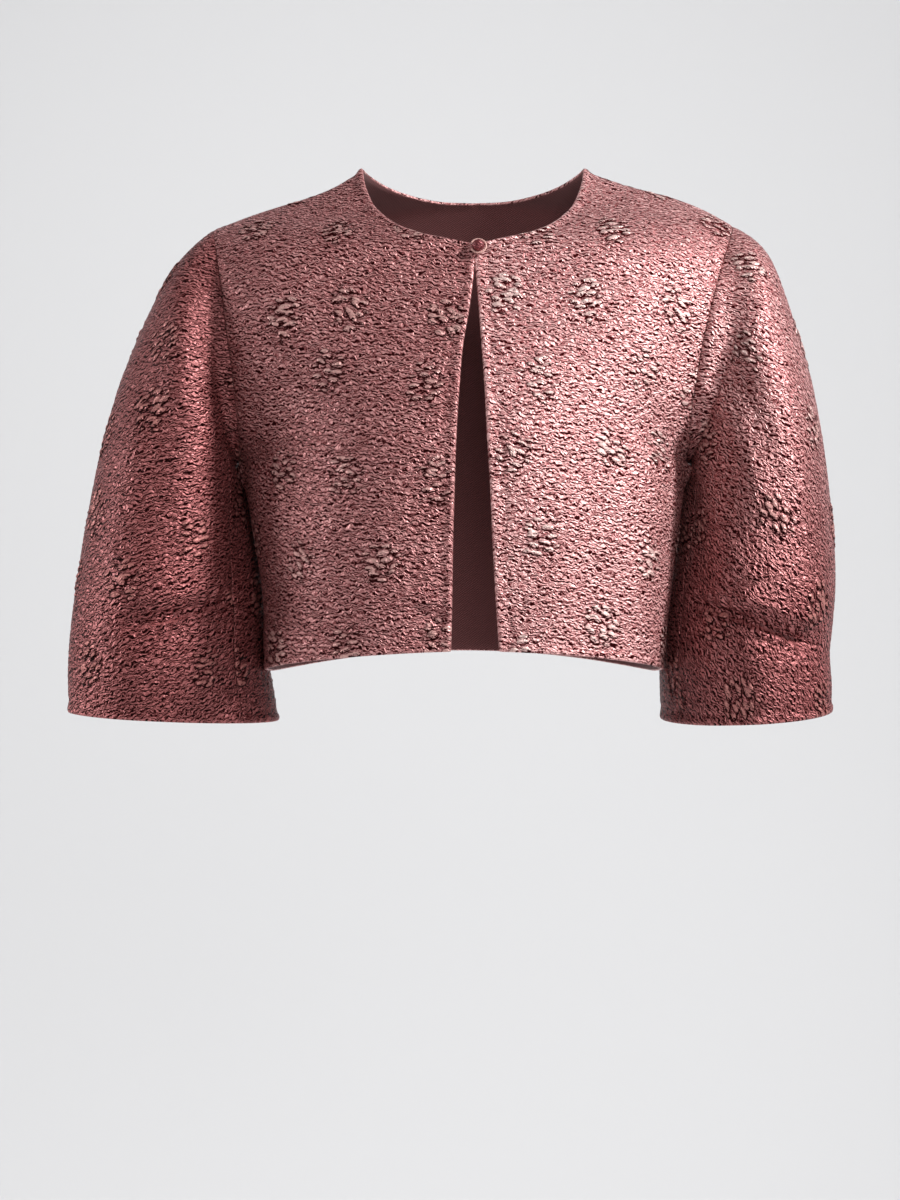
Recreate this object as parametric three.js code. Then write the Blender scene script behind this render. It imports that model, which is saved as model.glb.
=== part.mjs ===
// A cropped bolero jacket, hollow as worn, with elbow sleeves and one ball button and cord loop at the neck.
import * as THREE from "three";

// Sizes are in millimetres. X runs to the garment's own left, Y to the back and Z up.
const WALL = 2;
const SEAM_GAP = 0.3;

// Rows of the body: from the hem to the underarm, then round the armhole to the shoulder.
const SIDE_ROWS = 9;
const ARM_ROWS = 18;
const TOP_ROW = SIDE_ROWS + ARM_ROWS;
const FRONT_NECK_ROW = 20;
const BACK_NECK_ROW = 21;
const HALF_COLUMNS = 12;

// Sleeve: its rows, half its under piece's width in armhole steps, and how far back its inner side sits.
const SLEEVE_ROWS = 22;
const UNDER_STEPS = 4;
const TUCK = 24;

// Armhole, an upright egg shape: its middle, its half height, and how far it reaches forwards and back.
const ARMHOLE = { x: 181, y: 6, z: -113, half: 87, front: 62, back: 60, lean: 14, dip: 6, egg: 0.1 };

// Button and loop.
const BUTTON = { x: 3.4, z: -48, radius: 4.4, clear: 0.7 };
const LOOP = { cord: 0.7, inner: 4.9, segments: 30, sides: 8 };

// Centre edge of each front, from the hem up.
const FRONT_EDGE = [
  { z: -340, right: -17.2, left: 18.6, y: -119 },
  { z: -300, right: -16.4, left: 16.0, y: -122 },
  { z: -260, right: -15.8, left: 13.8, y: -124.5 },
  { z: -220, right: -14.6, left: 12.0, y: -125.5 },
  { z: -190, right: -13.6, left: 10.2, y: -124.5 },
  { z: -150, right: -11.2, left: 8.2, y: -118 },
  { z: -120, right: -8.6, left: 6.2, y: -109 },
  { z: -95, right: -4.4, left: 4.4, y: -99 },
  { z: -70, right: -1.2, left: 2.6, y: -87.5 },
  { z: -56, right: -0.1, left: 1.4, y: -81 },
  { z: -45, right: 0.3, left: 1.1, y: -76 },
];

// Neckline of the front, from the middle to the neck point.
const FRONT_NECK = [
  { at: 0, x: 0, y: -76, z: -45 },
  { at: 0.16, x: 22, y: -73.5, z: -40 },
  { at: 0.3, x: 40, y: -67, z: -35.5 },
  { at: 0.46, x: 57, y: -56, z: -28 },
  { at: 0.6, x: 68, y: -43, z: -19 },
  { at: 0.76, x: 76, y: -27, z: -8 },
  { at: 0.9, x: 82, y: -10, z: 8 },
  { at: 1, x: 84, y: 3, z: 20 },
];

// Neckline of the back.
const BACK_NECK = [
  { at: 0, x: 0, y: 61, z: 0 },
  { at: 0.25, x: 26, y: 57.5, z: 1 },
  { at: 0.5, x: 49, y: 48, z: 5 },
  { at: 0.72, x: 67, y: 34, z: 10.5 },
  { at: 0.88, x: 79, y: 17, z: 16.5 },
  { at: 1, x: 84, y: 3, z: 20 },
];

// Middle line of the back.
const BACK_MIDDLE = [
  { z: -342, y: 96 },
  { z: -300, y: 98 },
  { z: -250, y: 101 },
  { z: -200, y: 104 },
  { z: -150, y: 104.5 },
  { z: -100, y: 99 },
  { z: -60, y: 89 },
  { z: -30, y: 77 },
  { z: 0, y: 61 },
];

// Side seams, from the hem to the underarm.
const SIDE_SEAM = [
  { z: -356, right: 151, left: 136.5, y: 3 },
  { z: -342, right: 152, left: 138, y: 3 },
  { z: -310, right: 152, left: 141.5, y: 3 },
  { z: -275, right: 157, left: 146.5, y: 3.5 },
  { z: -245, right: 163.5, left: 152, y: 4 },
  { z: -220, right: 170, left: 157, y: 4 },
];

// How the middle of the body stands off to the right below the shoulders.
const SWAY = [
  { z: -360, x: -7.5 },
  { z: -200, x: -7.5 },
  { z: -110, x: -6 },
  { z: -60, x: -2.5 },
  { z: -26, x: 0 },
  { z: 30, x: 0 },
];

// Course of each row across the body: its angles and lengths at both ends, and how its height changes.
const FRONT_COURSE = [
  { row: 0, lean: 0, flat: 0.68, turn: 102, round: 92, ease: 0.5, sag: 0 },
  { row: 5, lean: 0, flat: 0.66, turn: 101, round: 86, ease: 0.5, sag: 0 },
  { row: 9, lean: 0, flat: 0.58, turn: 92, round: 68, ease: 0.5, sag: 0 },
  { row: 12, lean: 0, flat: 0.5, turn: 62, round: 58, ease: 0.5, sag: 0 },
  { row: 16, lean: 0, flat: 0.44, turn: 44, round: 56, ease: 0.5, sag: 0 },
  { row: 20, lean: -2, flat: 0.4, turn: 40, round: 54, ease: 0.5, sag: 0 },
  { row: 23, lean: -8, flat: 0.36, turn: 34, round: 50, ease: 0.35, sag: 1.5 },
  { row: 25, lean: -8, flat: 0.34, turn: 22, round: 42, ease: 0.15, sag: 4 },
  { row: 27, lean: 2, flat: 0.33, turn: 3, round: 36, ease: 0, sag: 5.5 },
];
const BACK_COURSE = [
  { row: 0, lean: 0, flat: 0.56, turn: 83, round: 66, ease: 1, sag: 0 },
  { row: 5, lean: 0, flat: 0.55, turn: 83, round: 66, ease: 1, sag: 0 },
  { row: 9, lean: 0, flat: 0.54, turn: 90, round: 60, ease: 1, sag: 0 },
  { row: 12, lean: 0, flat: 0.5, turn: 60, round: 54, ease: 1, sag: 0 },
  { row: 16, lean: 0, flat: 0.44, turn: 38, round: 52, ease: 1, sag: 0 },
  { row: 21, lean: 0, flat: 0.38, turn: 34, round: 48, ease: 1, sag: 0 },
  { row: 24, lean: -4, flat: 0.35, turn: 26, round: 44, ease: 0.6, sag: 2 },
  { row: 27, lean: -2, flat: 0.33, turn: -3, round: 36, ease: 0, sag: 5.5 },
];

// Rings of each sleeve: outermost and innermost points, middle, front and back in Y, and the dip in front.
const RIGHT_SLEEVE = [
  { at: 0.05, outX: 206, outZ: -35, inX: 177, inZ: -201, y: 6.5, front: -59, back: 71, dip: 0 },
  { at: 0.13, outX: 222.5, outZ: -53, inX: 176.3, inZ: -207, y: 5, front: -66, back: 75, dip: 0 },
  { at: 0.23, outX: 242, outZ: -88, inX: 171.5, inZ: -220, y: 3, front: -74, back: 77, dip: 0 },
  { at: 0.35, outX: 261, outZ: -133, inX: 166, inZ: -238, y: 0, front: -80, back: 76, dip: 0 },
  { at: 0.47, outX: 275, outZ: -180, inX: 162, inZ: -259, y: -4, front: -84, back: 72, dip: 0 },
  { at: 0.59, outX: 285.5, outZ: -230, inX: 158, inZ: -283, y: -8, front: -85, back: 66, dip: 0 },
  { at: 0.72, outX: 294.5, outZ: -285, inX: 155, inZ: -312, y: -12, front: -85, back: 58, dip: 0 },
  { at: 0.86, outX: 300.5, outZ: -338, inX: 153.5, inZ: -350, y: -16, front: -78, back: 47, dip: 2 },
  { at: 1, outX: 301, outZ: -386, inX: 146, inZ: -393, y: -19, front: -68, back: 36, dip: 3 },
];
const LEFT_SLEEVE = [
  { at: 0.05, outX: 208, outZ: -31, inX: 163, inZ: -201, y: 6.5, front: -60, back: 71, dip: 0 },
  { at: 0.13, outX: 223, outZ: -48, inX: 162.3, inZ: -207, y: 5, front: -67, back: 75, dip: 0 },
  { at: 0.23, outX: 238, outZ: -88, inX: 158.5, inZ: -220, y: 3, front: -75, back: 78, dip: 0 },
  { at: 0.35, outX: 251, outZ: -133, inX: 154, inZ: -238, y: 0, front: -82, back: 78, dip: 0 },
  { at: 0.47, outX: 260, outZ: -180, inX: 151, inZ: -259, y: -3, front: -87, back: 76, dip: 0 },
  { at: 0.59, outX: 266, outZ: -230, inX: 147.5, inZ: -283, y: -6, front: -89, back: 72, dip: 0 },
  { at: 0.72, outX: 269, outZ: -285, inX: 143.5, inZ: -312, y: -9, front: -88, back: 67, dip: 1 },
  { at: 0.86, outX: 263, outZ: -346, inX: 141, inZ: -352, y: -12, front: -82, back: 60, dip: 4 },
  { at: 1, outX: 267, outZ: -385, inX: 141.5, inZ: -392, y: -14, front: -72, back: 54, dip: 6 },
];

// Main folds: a soft trough along a line of the front or back view, deeper than 0, or a ridge, less than 0.
const FOLDS = [
  // Trough and ridge beside the right armhole.
  { face: "front", x0: -200, z0: -62, x1: -186, z1: -150, width: 13, depth: 5 },
  { face: "front", x0: -217, z0: -80, x1: -212, z1: -150, width: 15, depth: -3.5 },
  { face: "front", x0: -243, z0: -110, x1: -226, z1: -250, width: 17, depth: 3 },
  // Hollows before and behind the left armhole, with the seam standing between them.
  { face: "front", x0: 152, z0: -80, x1: 156, z1: -125, width: 18, depth: 4.5 },
  { face: "front", x0: 196, z0: -70, x1: 188, z1: -140, width: 15, depth: 4 },
  { face: "front", x0: 176, z0: -75, x1: 170, z1: -150, width: 9, depth: -3 },
  // Elbow darts, puffed above and below the stitched line.
  { face: "front", x0: -186, z0: -305, x1: -244, z1: -320, width: 12, depth: 4.5 },
  { face: "front", x0: -205, z0: -276, x1: -250, z1: -286, width: 20, depth: -4 },
  { face: "front", x0: -215, z0: -345, x1: -262, z1: -352, width: 18, depth: -3 },
  { face: "front", x0: 172, z0: -307, x1: 236, z1: -333, width: 11, depth: 4 },
  { face: "front", x0: 190, z0: -280, x1: 240, z1: -300, width: 20, depth: -5 },
  { face: "front", x0: 238, z0: -332, x1: 256, z1: -342, width: 11, depth: 5 },
  // Slack of the fronts.
  { face: "front", x0: -120, z0: -150, x1: -140, z1: -330, width: 26, depth: 3 },
  { face: "front", x0: -60, z0: -200, x1: -70, z1: -335, width: 26, depth: -2 },
  { face: "front", x0: 78, z0: -190, x1: 90, z1: -335, width: 24, depth: 2.5 },
  { face: "front", x0: 128, z0: -200, x1: 118, z1: -335, width: 20, depth: -2.5 },
  // Slack of the back and of the sleeves behind.
  { face: "back", x0: 0, z0: -70, x1: -12, z1: -330, width: 34, depth: 4 },
  { face: "back", x0: 150, z0: -95, x1: 128, z1: -235, width: 22, depth: 5 },
  { face: "back", x0: -156, z0: -90, x1: -138, z1: -240, width: 22, depth: 5 },
  { face: "back", x0: 80, z0: -215, x1: 92, z1: -345, width: 24, depth: -3 },
  { face: "back", x0: -88, z0: -205, x1: -96, z1: -345, width: 24, depth: -3 },
  { face: "back", x0: 205, z0: -110, x1: 225, z1: -230, width: 18, depth: 4 },
  { face: "back", x0: -212, z0: -115, x1: -246, z1: -240, width: 18, depth: 4 },
  { face: "back", x0: 175, z0: -262, x1: 235, z1: -290, width: 16, depth: -4 },
  { face: "back", x0: -185, z0: -265, x1: -262, z1: -292, width: 16, depth: -4 },
];
const FOLD_TURN = { y: 15, fade: 30 };

// The garment's own right and left: the sleeve and its seams' spread, and the shoulder's sag, lift and rise.
const SIDES = {
  right: { name: "right", sign: -1, rings: RIGHT_SLEEVE, spread: 9, sag: 1, lift: 0, rise: 0 },
  left: { name: "left", sign: 1, rings: LEFT_SLEEVE, spread: -9, sag: 0.4, lift: 0.9, rise: 3 },
};

// One column of a table as a smooth curve over its key column.
function read(table, key, column, at) {
  const last = table.length - 1;
  const x = (i) => table[i][key];
  const rise = (i) => (table[i + 1][column] - table[i][column]) / (x(i + 1) - x(i));
  const slope = (i) => {
    if (i === 0) return rise(0);
    if (i === last) return rise(last - 1);
    const before = x(i) - x(i - 1);
    const after = x(i + 1) - x(i);
    return (after * rise(i - 1) + before * rise(i)) / (before + after);
  };
  let i = 0;
  while (i < last - 1 && at > x(i + 1)) i += 1;
  const span = x(i + 1) - x(i);
  const t = (at - x(i)) / span;
  const ends = table[i][column] * (1 + 2 * t) * (1 - t) ** 2 + table[i + 1][column] * (3 - 2 * t) * t ** 2;
  return ends + span * t * (1 - t) * (slope(i) * (1 - t) - slope(i + 1) * t);
}

const mix = (a, b, t) => a + (b - a) * t;
const radians = (degrees) => (degrees * Math.PI) / 180;
const sway = (z) => read(SWAY, "z", "x", z);

// A point of the armhole: step 0 is the underarm and ARM_ROWS the shoulder, over the front or the back.
function armholePoint(side, step, face) {
  const angle = (Math.PI * step) / ARM_ROWS;
  const reach = face === "front" ? -ARMHOLE.front : ARMHOLE.back;
  const share = (1 - Math.cos(angle)) / 2;
  const z = ARMHOLE.z - ARMHOLE.half * Math.cos(angle) + side.rise * share ** 2;
  const y = ARMHOLE.y - 2 * Math.cos(angle) + reach * Math.sin(angle) * (1 + ARMHOLE.egg * Math.cos(angle));
  const x = ARMHOLE.x - ARMHOLE.lean * Math.cos(angle) - ARMHOLE.dip * Math.sin(angle) ** 2;
  return new THREE.Vector3(side.sign * x + sway(z), y, z);
}

// The side end of a row: on the side seam, then round the armhole.
function sideEnd(side, row, face) {
  if (row >= SIDE_ROWS) return armholePoint(side, row - SIDE_ROWS, face);
  const top = armholePoint(side, 0, face);
  const seam = SIDE_SEAM.map((r) => ({ z: r.z, x: side.sign * r[side.name], y: r.y }));
  seam.push(top);
  const z = mix(SIDE_SEAM[0].z, top.z, row / SIDE_ROWS);
  return new THREE.Vector3(read(seam, "z", "x", z), read(seam, "z", "y", z), z);
}

// The middle end of a front's row: on its centre edge, then round the neckline.
function frontStart(side, row) {
  if (row <= FRONT_NECK_ROW) {
    const z = mix(FRONT_EDGE[0].z, FRONT_NECK[0].z, row / FRONT_NECK_ROW);
    return new THREE.Vector3(read(FRONT_EDGE, "z", side.name, z), read(FRONT_EDGE, "z", "y", z), z);
  }
  const at = (row - FRONT_NECK_ROW) / (TOP_ROW - FRONT_NECK_ROW);
  const x = side.sign * read(FRONT_NECK, "at", "x", at);
  return new THREE.Vector3(x, read(FRONT_NECK, "at", "y", at), read(FRONT_NECK, "at", "z", at));
}

// The middle end of the back's row: on the middle line, then round the neckline.
function backStart(side, row) {
  if (row <= BACK_NECK_ROW) {
    const z = mix(BACK_MIDDLE[0].z, 0, row / BACK_NECK_ROW);
    return new THREE.Vector3(sway(z), read(BACK_MIDDLE, "z", "y", z), z);
  }
  const at = (row - BACK_NECK_ROW) / (TOP_ROW - BACK_NECK_ROW);
  const x = side.sign * read(BACK_NECK, "at", "x", at);
  return new THREE.Vector3(x, read(BACK_NECK, "at", "y", at), read(BACK_NECK, "at", "z", at));
}

// Rows near the underarm dip just before they reach it, so that they meet the corner there slantwise.
function dippedRow(row, across) {
  const near = (1 - across) / 0.1;
  const share = Math.exp(-(((row - SIDE_ROWS - 0.5) / 3) ** 2));
  return row - share * near * Math.exp(1 - near);
}

// A point of a body panel.
function bodyPoint(side, row, face, across) {
  return rowPoint(side, dippedRow(row, across), face, across);
}

// A point along a body row: a cubic curve in plan from the middle end to the side end.
function rowPoint(side, row, face, across) {
  const course = face === "front" ? FRONT_COURSE : BACK_COURSE;
  const shape = (column) => read(course, "row", column, row);
  const start = face === "front" ? frontStart(side, row) : backStart(side, row);
  const end = sideEnd(side, row, face);
  const away = face === "front" ? 1 : -1;
  const heading = (angle) => [side.sign * Math.cos(radians(angle)), away * Math.sin(radians(angle))];
  const [leanX, leanY] = heading(shape("lean"));
  const [turnX, turnY] = heading(shape("turn"));
  const flat = shape("flat") * Math.abs(end.x - start.x);
  const round = shape("round");
  const t = across;
  const weights = [(1 - t) ** 3, 3 * t * (1 - t) ** 2, 3 * t * t * (1 - t), t ** 3];
  const sum = (values) => values.reduce((total, value, i) => total + value * weights[i], 0);
  const x = sum([start.x, start.x + leanX * flat, end.x - turnX * round, end.x]);
  const y = sum([start.y, start.y + leanY * flat, end.y - turnY * round, end.y]);
  const eased = mix(t, t * t * (3 - 2 * t), shape("ease"));
  const crest = (side.lift * t * t * (1 - t)) / 0.148 - (side.sag * t * (1 - t) ** 3) / 0.1055;
  return new THREE.Vector3(x, y, mix(start.z, end.z, eased) + shape("sag") * crest);
}

// A point of a sleeve ring at an angle from its inner side, which is tucked back behind the body.
function ringPoint(side, ring, angle) {
  const reach = Math.sin(angle) > 0 ? ring.y - ring.front : ring.back - ring.y;
  const share = (1 - Math.cos(angle)) / 2;
  const front = Math.max(0, Math.sin(angle));
  const tuck = TUCK * Math.min(1, 3 * ring.at) * (1 - share) ** 2;
  return {
    at: ring.at,
    x: side.sign * mix(ring.inX, ring.outX, share),
    y: ring.y - reach * Math.sin(angle) + tuck,
    z: mix(ring.inZ, ring.outZ, share) - ring.dip * front,
  };
}

// A point of a sleeve: a step round the armhole from the underarm over the front, and how far down.
function sleevePoint(side, step, down) {
  const angle = (Math.PI * step) / ARM_ROWS;
  const over = step <= ARM_ROWS;
  const start = armholePoint(side, over ? step : 2 * ARM_ROWS - step, over ? "front" : "back");
  const line = [{ at: 0, x: start.x, y: start.y, z: start.z }];
  side.rings.forEach((ring) => {
    const spread = radians(side.spread) * Math.min(1, 2 * ring.at);
    line.push(ringPoint(side, ring, angle + spread * Math.sin(angle)));
  });
  const [x, y, z] = ["x", "y", "z"].map((column) => read(line, "at", column, down));
  return new THREE.Vector3(x, y, z);
}

// A point moved by the folds: a trough takes the front back and the back forwards.
function folded(point) {
  const { y, fade } = FOLD_TURN;
  const share = THREE.MathUtils.smoothstep(point.y, y - fade, y + fade);
  let move = 0;
  FOLDS.forEach((fold) => {
    const along = new THREE.Vector2(fold.x1 - fold.x0, fold.z1 - fold.z0);
    const from = new THREE.Vector2(point.x - fold.x0, point.z - fold.z0);
    const t = THREE.MathUtils.clamp(from.dot(along) / along.lengthSq(), 0, 1);
    const distance = from.addScaledVector(along, -t).length() / fold.width;
    const facing = fold.face === "front" ? 1 - share : -share;
    move += fold.depth * facing * Math.exp(-distance * distance);
  });
  return new THREE.Vector3(point.x, point.y + move, point.z);
}

// A grid of folded points, rows by columns, as points and outward faces.
function grid(rows, columns, point, turned) {
  const points = [];
  const faces = [];
  for (let i = 0; i <= rows; i += 1) {
    for (let j = 0; j <= columns; j += 1) points.push(folded(point(i, j)));
  }
  for (let i = 0; i < rows; i += 1) {
    for (let j = 0; j < columns; j += 1) {
      const a = i * (columns + 1) + j;
      const corner = [a, a + 1, a + columns + 2, a + columns + 1];
      if (turned) corner.reverse();
      faces.push([corner[0], corner[1], corner[2]], [corner[0], corner[2], corner[3]]);
    }
  }
  return { points, faces };
}

// Surface of a front.
function frontSurface(side) {
  const point = (i, j) => bodyPoint(side, i, "front", j / HALF_COLUMNS);
  return grid(TOP_ROW, HALF_COLUMNS, point, side.sign < 0);
}

// Surface of the back: its two halves, joined along the middle below the neck.
function backSurface() {
  const half = (side) => {
    const point = (i, j) => bodyPoint(side, i, "back", j / HALF_COLUMNS);
    return grid(TOP_ROW, HALF_COLUMNS, point, side.sign > 0);
  };
  const right = half(SIDES.right);
  const left = half(SIDES.left);
  const offset = right.points.length;
  const moved = left.faces.map((face) => face.map((index) => index + offset));
  return { points: right.points.concat(left.points), faces: right.faces.concat(moved) };
}

// Surface of a sleeve piece between two steps round the armhole.
function sleeveSurface(side, from, to) {
  const steps = to - from;
  const point = (i, j) => sleevePoint(side, (from + j + 2 * ARM_ROWS) % (2 * ARM_ROWS), i / SLEEVE_ROWS);
  return grid(SLEEVE_ROWS, steps, point, side.sign > 0);
}

const keyOf = (p) => [p.x, p.y, p.z].map((value) => Math.round(value * 50)).join();

// The surface with its coincident points made one.
function merged(surface) {
  const index = new Map();
  const points = [];
  const map = surface.points.map((p) => {
    const key = keyOf(p);
    if (!index.has(key)) {
      index.set(key, points.length);
      points.push(p);
    }
    return index.get(key);
  });
  return { points, faces: surface.faces.map((face) => face.map((i) => map[i])) };
}

// Edges that only one face of the surface has, in the face's own direction.
function openEdges(surface) {
  const seen = new Map();
  surface.faces.forEach((face) => {
    face.forEach((a, i) => {
      const b = face[(i + 1) % 3];
      if (seen.has(b + "_" + a)) seen.delete(b + "_" + a);
      else seen.set(a + "_" + b, [a, b]);
    });
  });
  return [...seen.values()];
}

// Outward directions of the whole garment's cloth, shared by the pieces that meet at a seam.
function sharedNormals(surfaces) {
  const normals = new Map();
  surfaces.forEach(({ points, faces }) => {
    faces.forEach((face) => {
      const [a, b, c] = face.map((i) => points[i]);
      const normal = b.clone().sub(a).cross(c.clone().sub(a));
      face.forEach((i) => {
        const key = keyOf(points[i]);
        if (!normals.has(key)) normals.set(key, new THREE.Vector3());
        normals.get(key).add(normal);
      });
    });
  });
  normals.forEach((normal) => normal.normalize());
  return normals;
}

// Keys of the edges that two pieces share.
function seamEdges(surfaces) {
  const count = new Map();
  surfaces.forEach((surface) => {
    openEdges(surface).forEach(([a, b]) => {
      const key = [keyOf(surface.points[a]), keyOf(surface.points[b])].sort().join("/");
      count.set(key, (count.get(key) || 0) + 1);
    });
  });
  return new Set([...count].filter(([, number]) => number > 1).map(([key]) => key));
}

// How far each point moves in from the seams: half the gap, square to each seam edge at the point.
function seamMoves(surface, edges, normals, seams) {
  const inward = new Map();
  edges.forEach(([a, b]) => {
    const [start, end] = [surface.points[a], surface.points[b]];
    if (!seams.has([keyOf(start), keyOf(end)].sort().join("/"))) return;
    [a, b].forEach((i) => {
      const along = end.clone().sub(start);
      const direction = normals.get(keyOf(surface.points[i])).clone().cross(along).normalize();
      if (!inward.has(i)) inward.set(i, []);
      inward.get(i).push(direction);
    });
  });
  const moves = new Map();
  inward.forEach((directions, i) => {
    const total = directions.reduce((sum, direction) => sum.add(direction), new THREE.Vector3());
    const share = directions.length > 1 ? 1 + directions[0].dot(directions[1]) : 1;
    moves.set(i, total.multiplyScalar(SEAM_GAP / 2 / Math.max(share, 0.5)));
  });
  return moves;
}

// A piece of cloth: the surface, the same surface moved in by the wall, and a rim round the open edges.
function clothWall(surface, normals, seams) {
  const edges = openEdges(surface);
  const moves = seamMoves(surface, edges, normals, seams);
  const count = surface.points.length;
  const outer = surface.points.map((p, i) => (moves.has(i) ? p.clone().add(moves.get(i)) : p));
  const inner = surface.points.map((p, i) => {
    return outer[i].clone().addScaledVector(normals.get(keyOf(p)), -WALL);
  });
  const index = [];
  surface.faces.forEach(([a, b, c]) => index.push(a, b, c, a + count, c + count, b + count));
  edges.forEach(([a, b]) => {
    const alike = keyOf(surface.points[a]) < keyOf(surface.points[b]);
    if (alike) index.push(b, a, a + count, b, a + count, b + count);
    else index.push(b, a, b + count, a, a + count, b + count);
  });
  const flat = outer.concat(inner).flatMap((p) => [p.x, p.y, p.z]);
  const geometry = new THREE.BufferGeometry();
  geometry.setAttribute("position", new THREE.Float32BufferAttribute(flat, 3));
  geometry.setIndex(index);
  geometry.computeVertexNormals();
  return geometry;
}

// Where the button stands: in front of the left front's top corner.
function buttonCentre() {
  const y = read(FRONT_EDGE, "z", "y", BUTTON.z);
  const slope = read(FRONT_EDGE, "z", "y", BUTTON.z + 1) - y;
  const out = new THREE.Vector3(0, -1, slope).normalize();
  const centre = new THREE.Vector3(BUTTON.x, y, BUTTON.z);
  return { centre: centre.addScaledVector(out, BUTTON.radius + BUTTON.clear), out };
}

// The cloth-covered ball.
function buttonGeometry() {
  const { centre } = buttonCentre();
  const ball = new THREE.SphereGeometry(BUTTON.radius, 22, 14);
  return ball.translate(centre.x, centre.y, centre.z);
}

// The cord loop: from the right front's edge, round the ball and back.
function loopGeometry() {
  const { centre, out } = buttonCentre();
  const acrossWay = new THREE.Vector3(1, 0, 0);
  const upWay = out.clone().cross(acrossWay).negate().normalize();
  const radius = LOOP.inner + LOOP.cord;
  const half = radians(152);
  const points = [];
  for (let i = 0; i <= LOOP.segments; i += 1) {
    const angle = mix(-half, half, i / LOOP.segments);
    const spot = centre.clone();
    spot.addScaledVector(acrossWay, radius * Math.cos(angle));
    spot.addScaledVector(upWay, radius * Math.sin(angle));
    points.push(spot.addScaledVector(out, -1.2));
  }
  const path = new THREE.CatmullRomCurve3(points);
  return cappedTube(path, LOOP.segments, LOOP.cord, LOOP.sides);
}

// A round cord along a path, closed at both ends.
function cappedTube(path, segments, radius, sides) {
  const frames = path.computeFrenetFrames(segments, false);
  const points = [];
  const index = [];
  for (let i = 0; i <= segments; i += 1) {
    const middle = path.getPointAt(i / segments);
    for (let j = 0; j < sides; j += 1) {
      const angle = (2 * Math.PI * j) / sides;
      const spot = middle.clone().addScaledVector(frames.normals[i], radius * Math.cos(angle));
      points.push(spot.addScaledVector(frames.binormals[i], radius * Math.sin(angle)));
    }
  }
  for (let i = 0; i < segments; i += 1) {
    for (let j = 0; j < sides; j += 1) {
      const a = i * sides + j;
      const b = i * sides + ((j + 1) % sides);
      index.push(a, b, b + sides, a, b + sides, a + sides);
    }
  }
  const last = segments * sides;
  for (let j = 1; j < sides - 1; j += 1) {
    index.push(0, j + 1, j, last, last + j, last + j + 1);
  }
  const geometry = new THREE.BufferGeometry();
  const places = points.flatMap((p) => p.toArray());
  geometry.setAttribute("position", new THREE.Float32BufferAttribute(places, 3));
  geometry.setIndex(index);
  geometry.computeVertexNormals();
  return geometry;
}

// A crinkled metallic rose cloth.
function clothMaterial() {
  return new THREE.MeshStandardMaterial({ color: 0xa86a68, roughness: 0.45, metalness: 0.35 });
}

// The garment's pieces by name.
function clothSurfaces() {
  const under = UNDER_STEPS;
  const round = 2 * ARM_ROWS;
  return {
    front_right: frontSurface(SIDES.right),
    front_left: frontSurface(SIDES.left),
    back: merged(backSurface()),
    sleeve_top_right: sleeveSurface(SIDES.right, under, round - under),
    sleeve_under_right: sleeveSurface(SIDES.right, -under, under),
    sleeve_top_left: sleeveSurface(SIDES.left, under, round - under),
    sleeve_under_left: sleeveSurface(SIDES.left, -under, under),
  };
}

// The whole jacket.
function jacket() {
  const group = new THREE.Group();
  const add = (name, geometry) => {
    const mesh = new THREE.Mesh(geometry, clothMaterial());
    mesh.name = name;
    group.add(mesh);
  };
  const surfaces = clothSurfaces();
  const all = Object.values(surfaces);
  const normals = sharedNormals(all);
  const seams = seamEdges(all);
  Object.entries(surfaces).forEach(([name, surface]) => add(name, clothWall(surface, normals, seams)));
  add("button", buttonGeometry());
  add("button_loop", loopGeometry());
  return group;
}

export default jacket();
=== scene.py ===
"""A cropped bolero jacket of crinkled metallic rose cloth, hollow as worn.

Each cut piece is a thin shell on the form of its solid. The form is worked out in millimetres from the same
named sizes as the solids, sampled finer, and the crinkle is laid out on the cloth's flat cut."""

import bpy
import numpy as np
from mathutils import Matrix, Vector


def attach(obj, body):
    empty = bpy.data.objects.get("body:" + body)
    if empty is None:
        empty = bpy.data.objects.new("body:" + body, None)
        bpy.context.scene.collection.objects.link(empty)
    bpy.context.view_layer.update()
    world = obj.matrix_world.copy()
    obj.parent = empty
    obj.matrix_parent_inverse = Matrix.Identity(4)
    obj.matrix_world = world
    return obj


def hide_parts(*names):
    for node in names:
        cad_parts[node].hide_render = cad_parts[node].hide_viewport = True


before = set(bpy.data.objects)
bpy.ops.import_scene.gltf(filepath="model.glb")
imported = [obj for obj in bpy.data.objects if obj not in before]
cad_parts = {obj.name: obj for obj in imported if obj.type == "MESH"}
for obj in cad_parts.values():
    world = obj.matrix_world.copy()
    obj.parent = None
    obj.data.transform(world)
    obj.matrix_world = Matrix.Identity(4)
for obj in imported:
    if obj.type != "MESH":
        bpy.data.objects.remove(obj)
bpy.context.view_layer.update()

MM = 0.001
WALL = 2.0
SEAM_GAP = 0.3

# Rows of the body and of the sleeves, as in the solids, and how finely each step is divided.
SIDE_ROWS = 9
ARM_ROWS = 18
TOP_ROW = SIDE_ROWS + ARM_ROWS
FRONT_NECK_ROW = 20
BACK_NECK_ROW = 21
HALF_COLUMNS = 12
SLEEVE_ROWS = 22
UNDER_STEPS = 4
TUCK = 24
INNER = 3
FINE = {"front": (12, 15), "back": (9, 15), "top": (12, 12), "under": (9, 9)}

ARMHOLE = {"x": 181, "y": 6, "z": -113, "half": 87, "front": 62, "back": 60, "lean": 14, "dip": 6, "egg": 0.1}
BUTTON = {"x": 3.4, "z": -48, "radius": 4.4, "clear": 0.7}
LOOP = {"cord": 0.7, "inner": 4.9}


def table(columns, rows):
    """A table of numbers as one array for each named column."""
    return dict(zip(columns.split(), np.array(rows, float).T))


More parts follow.
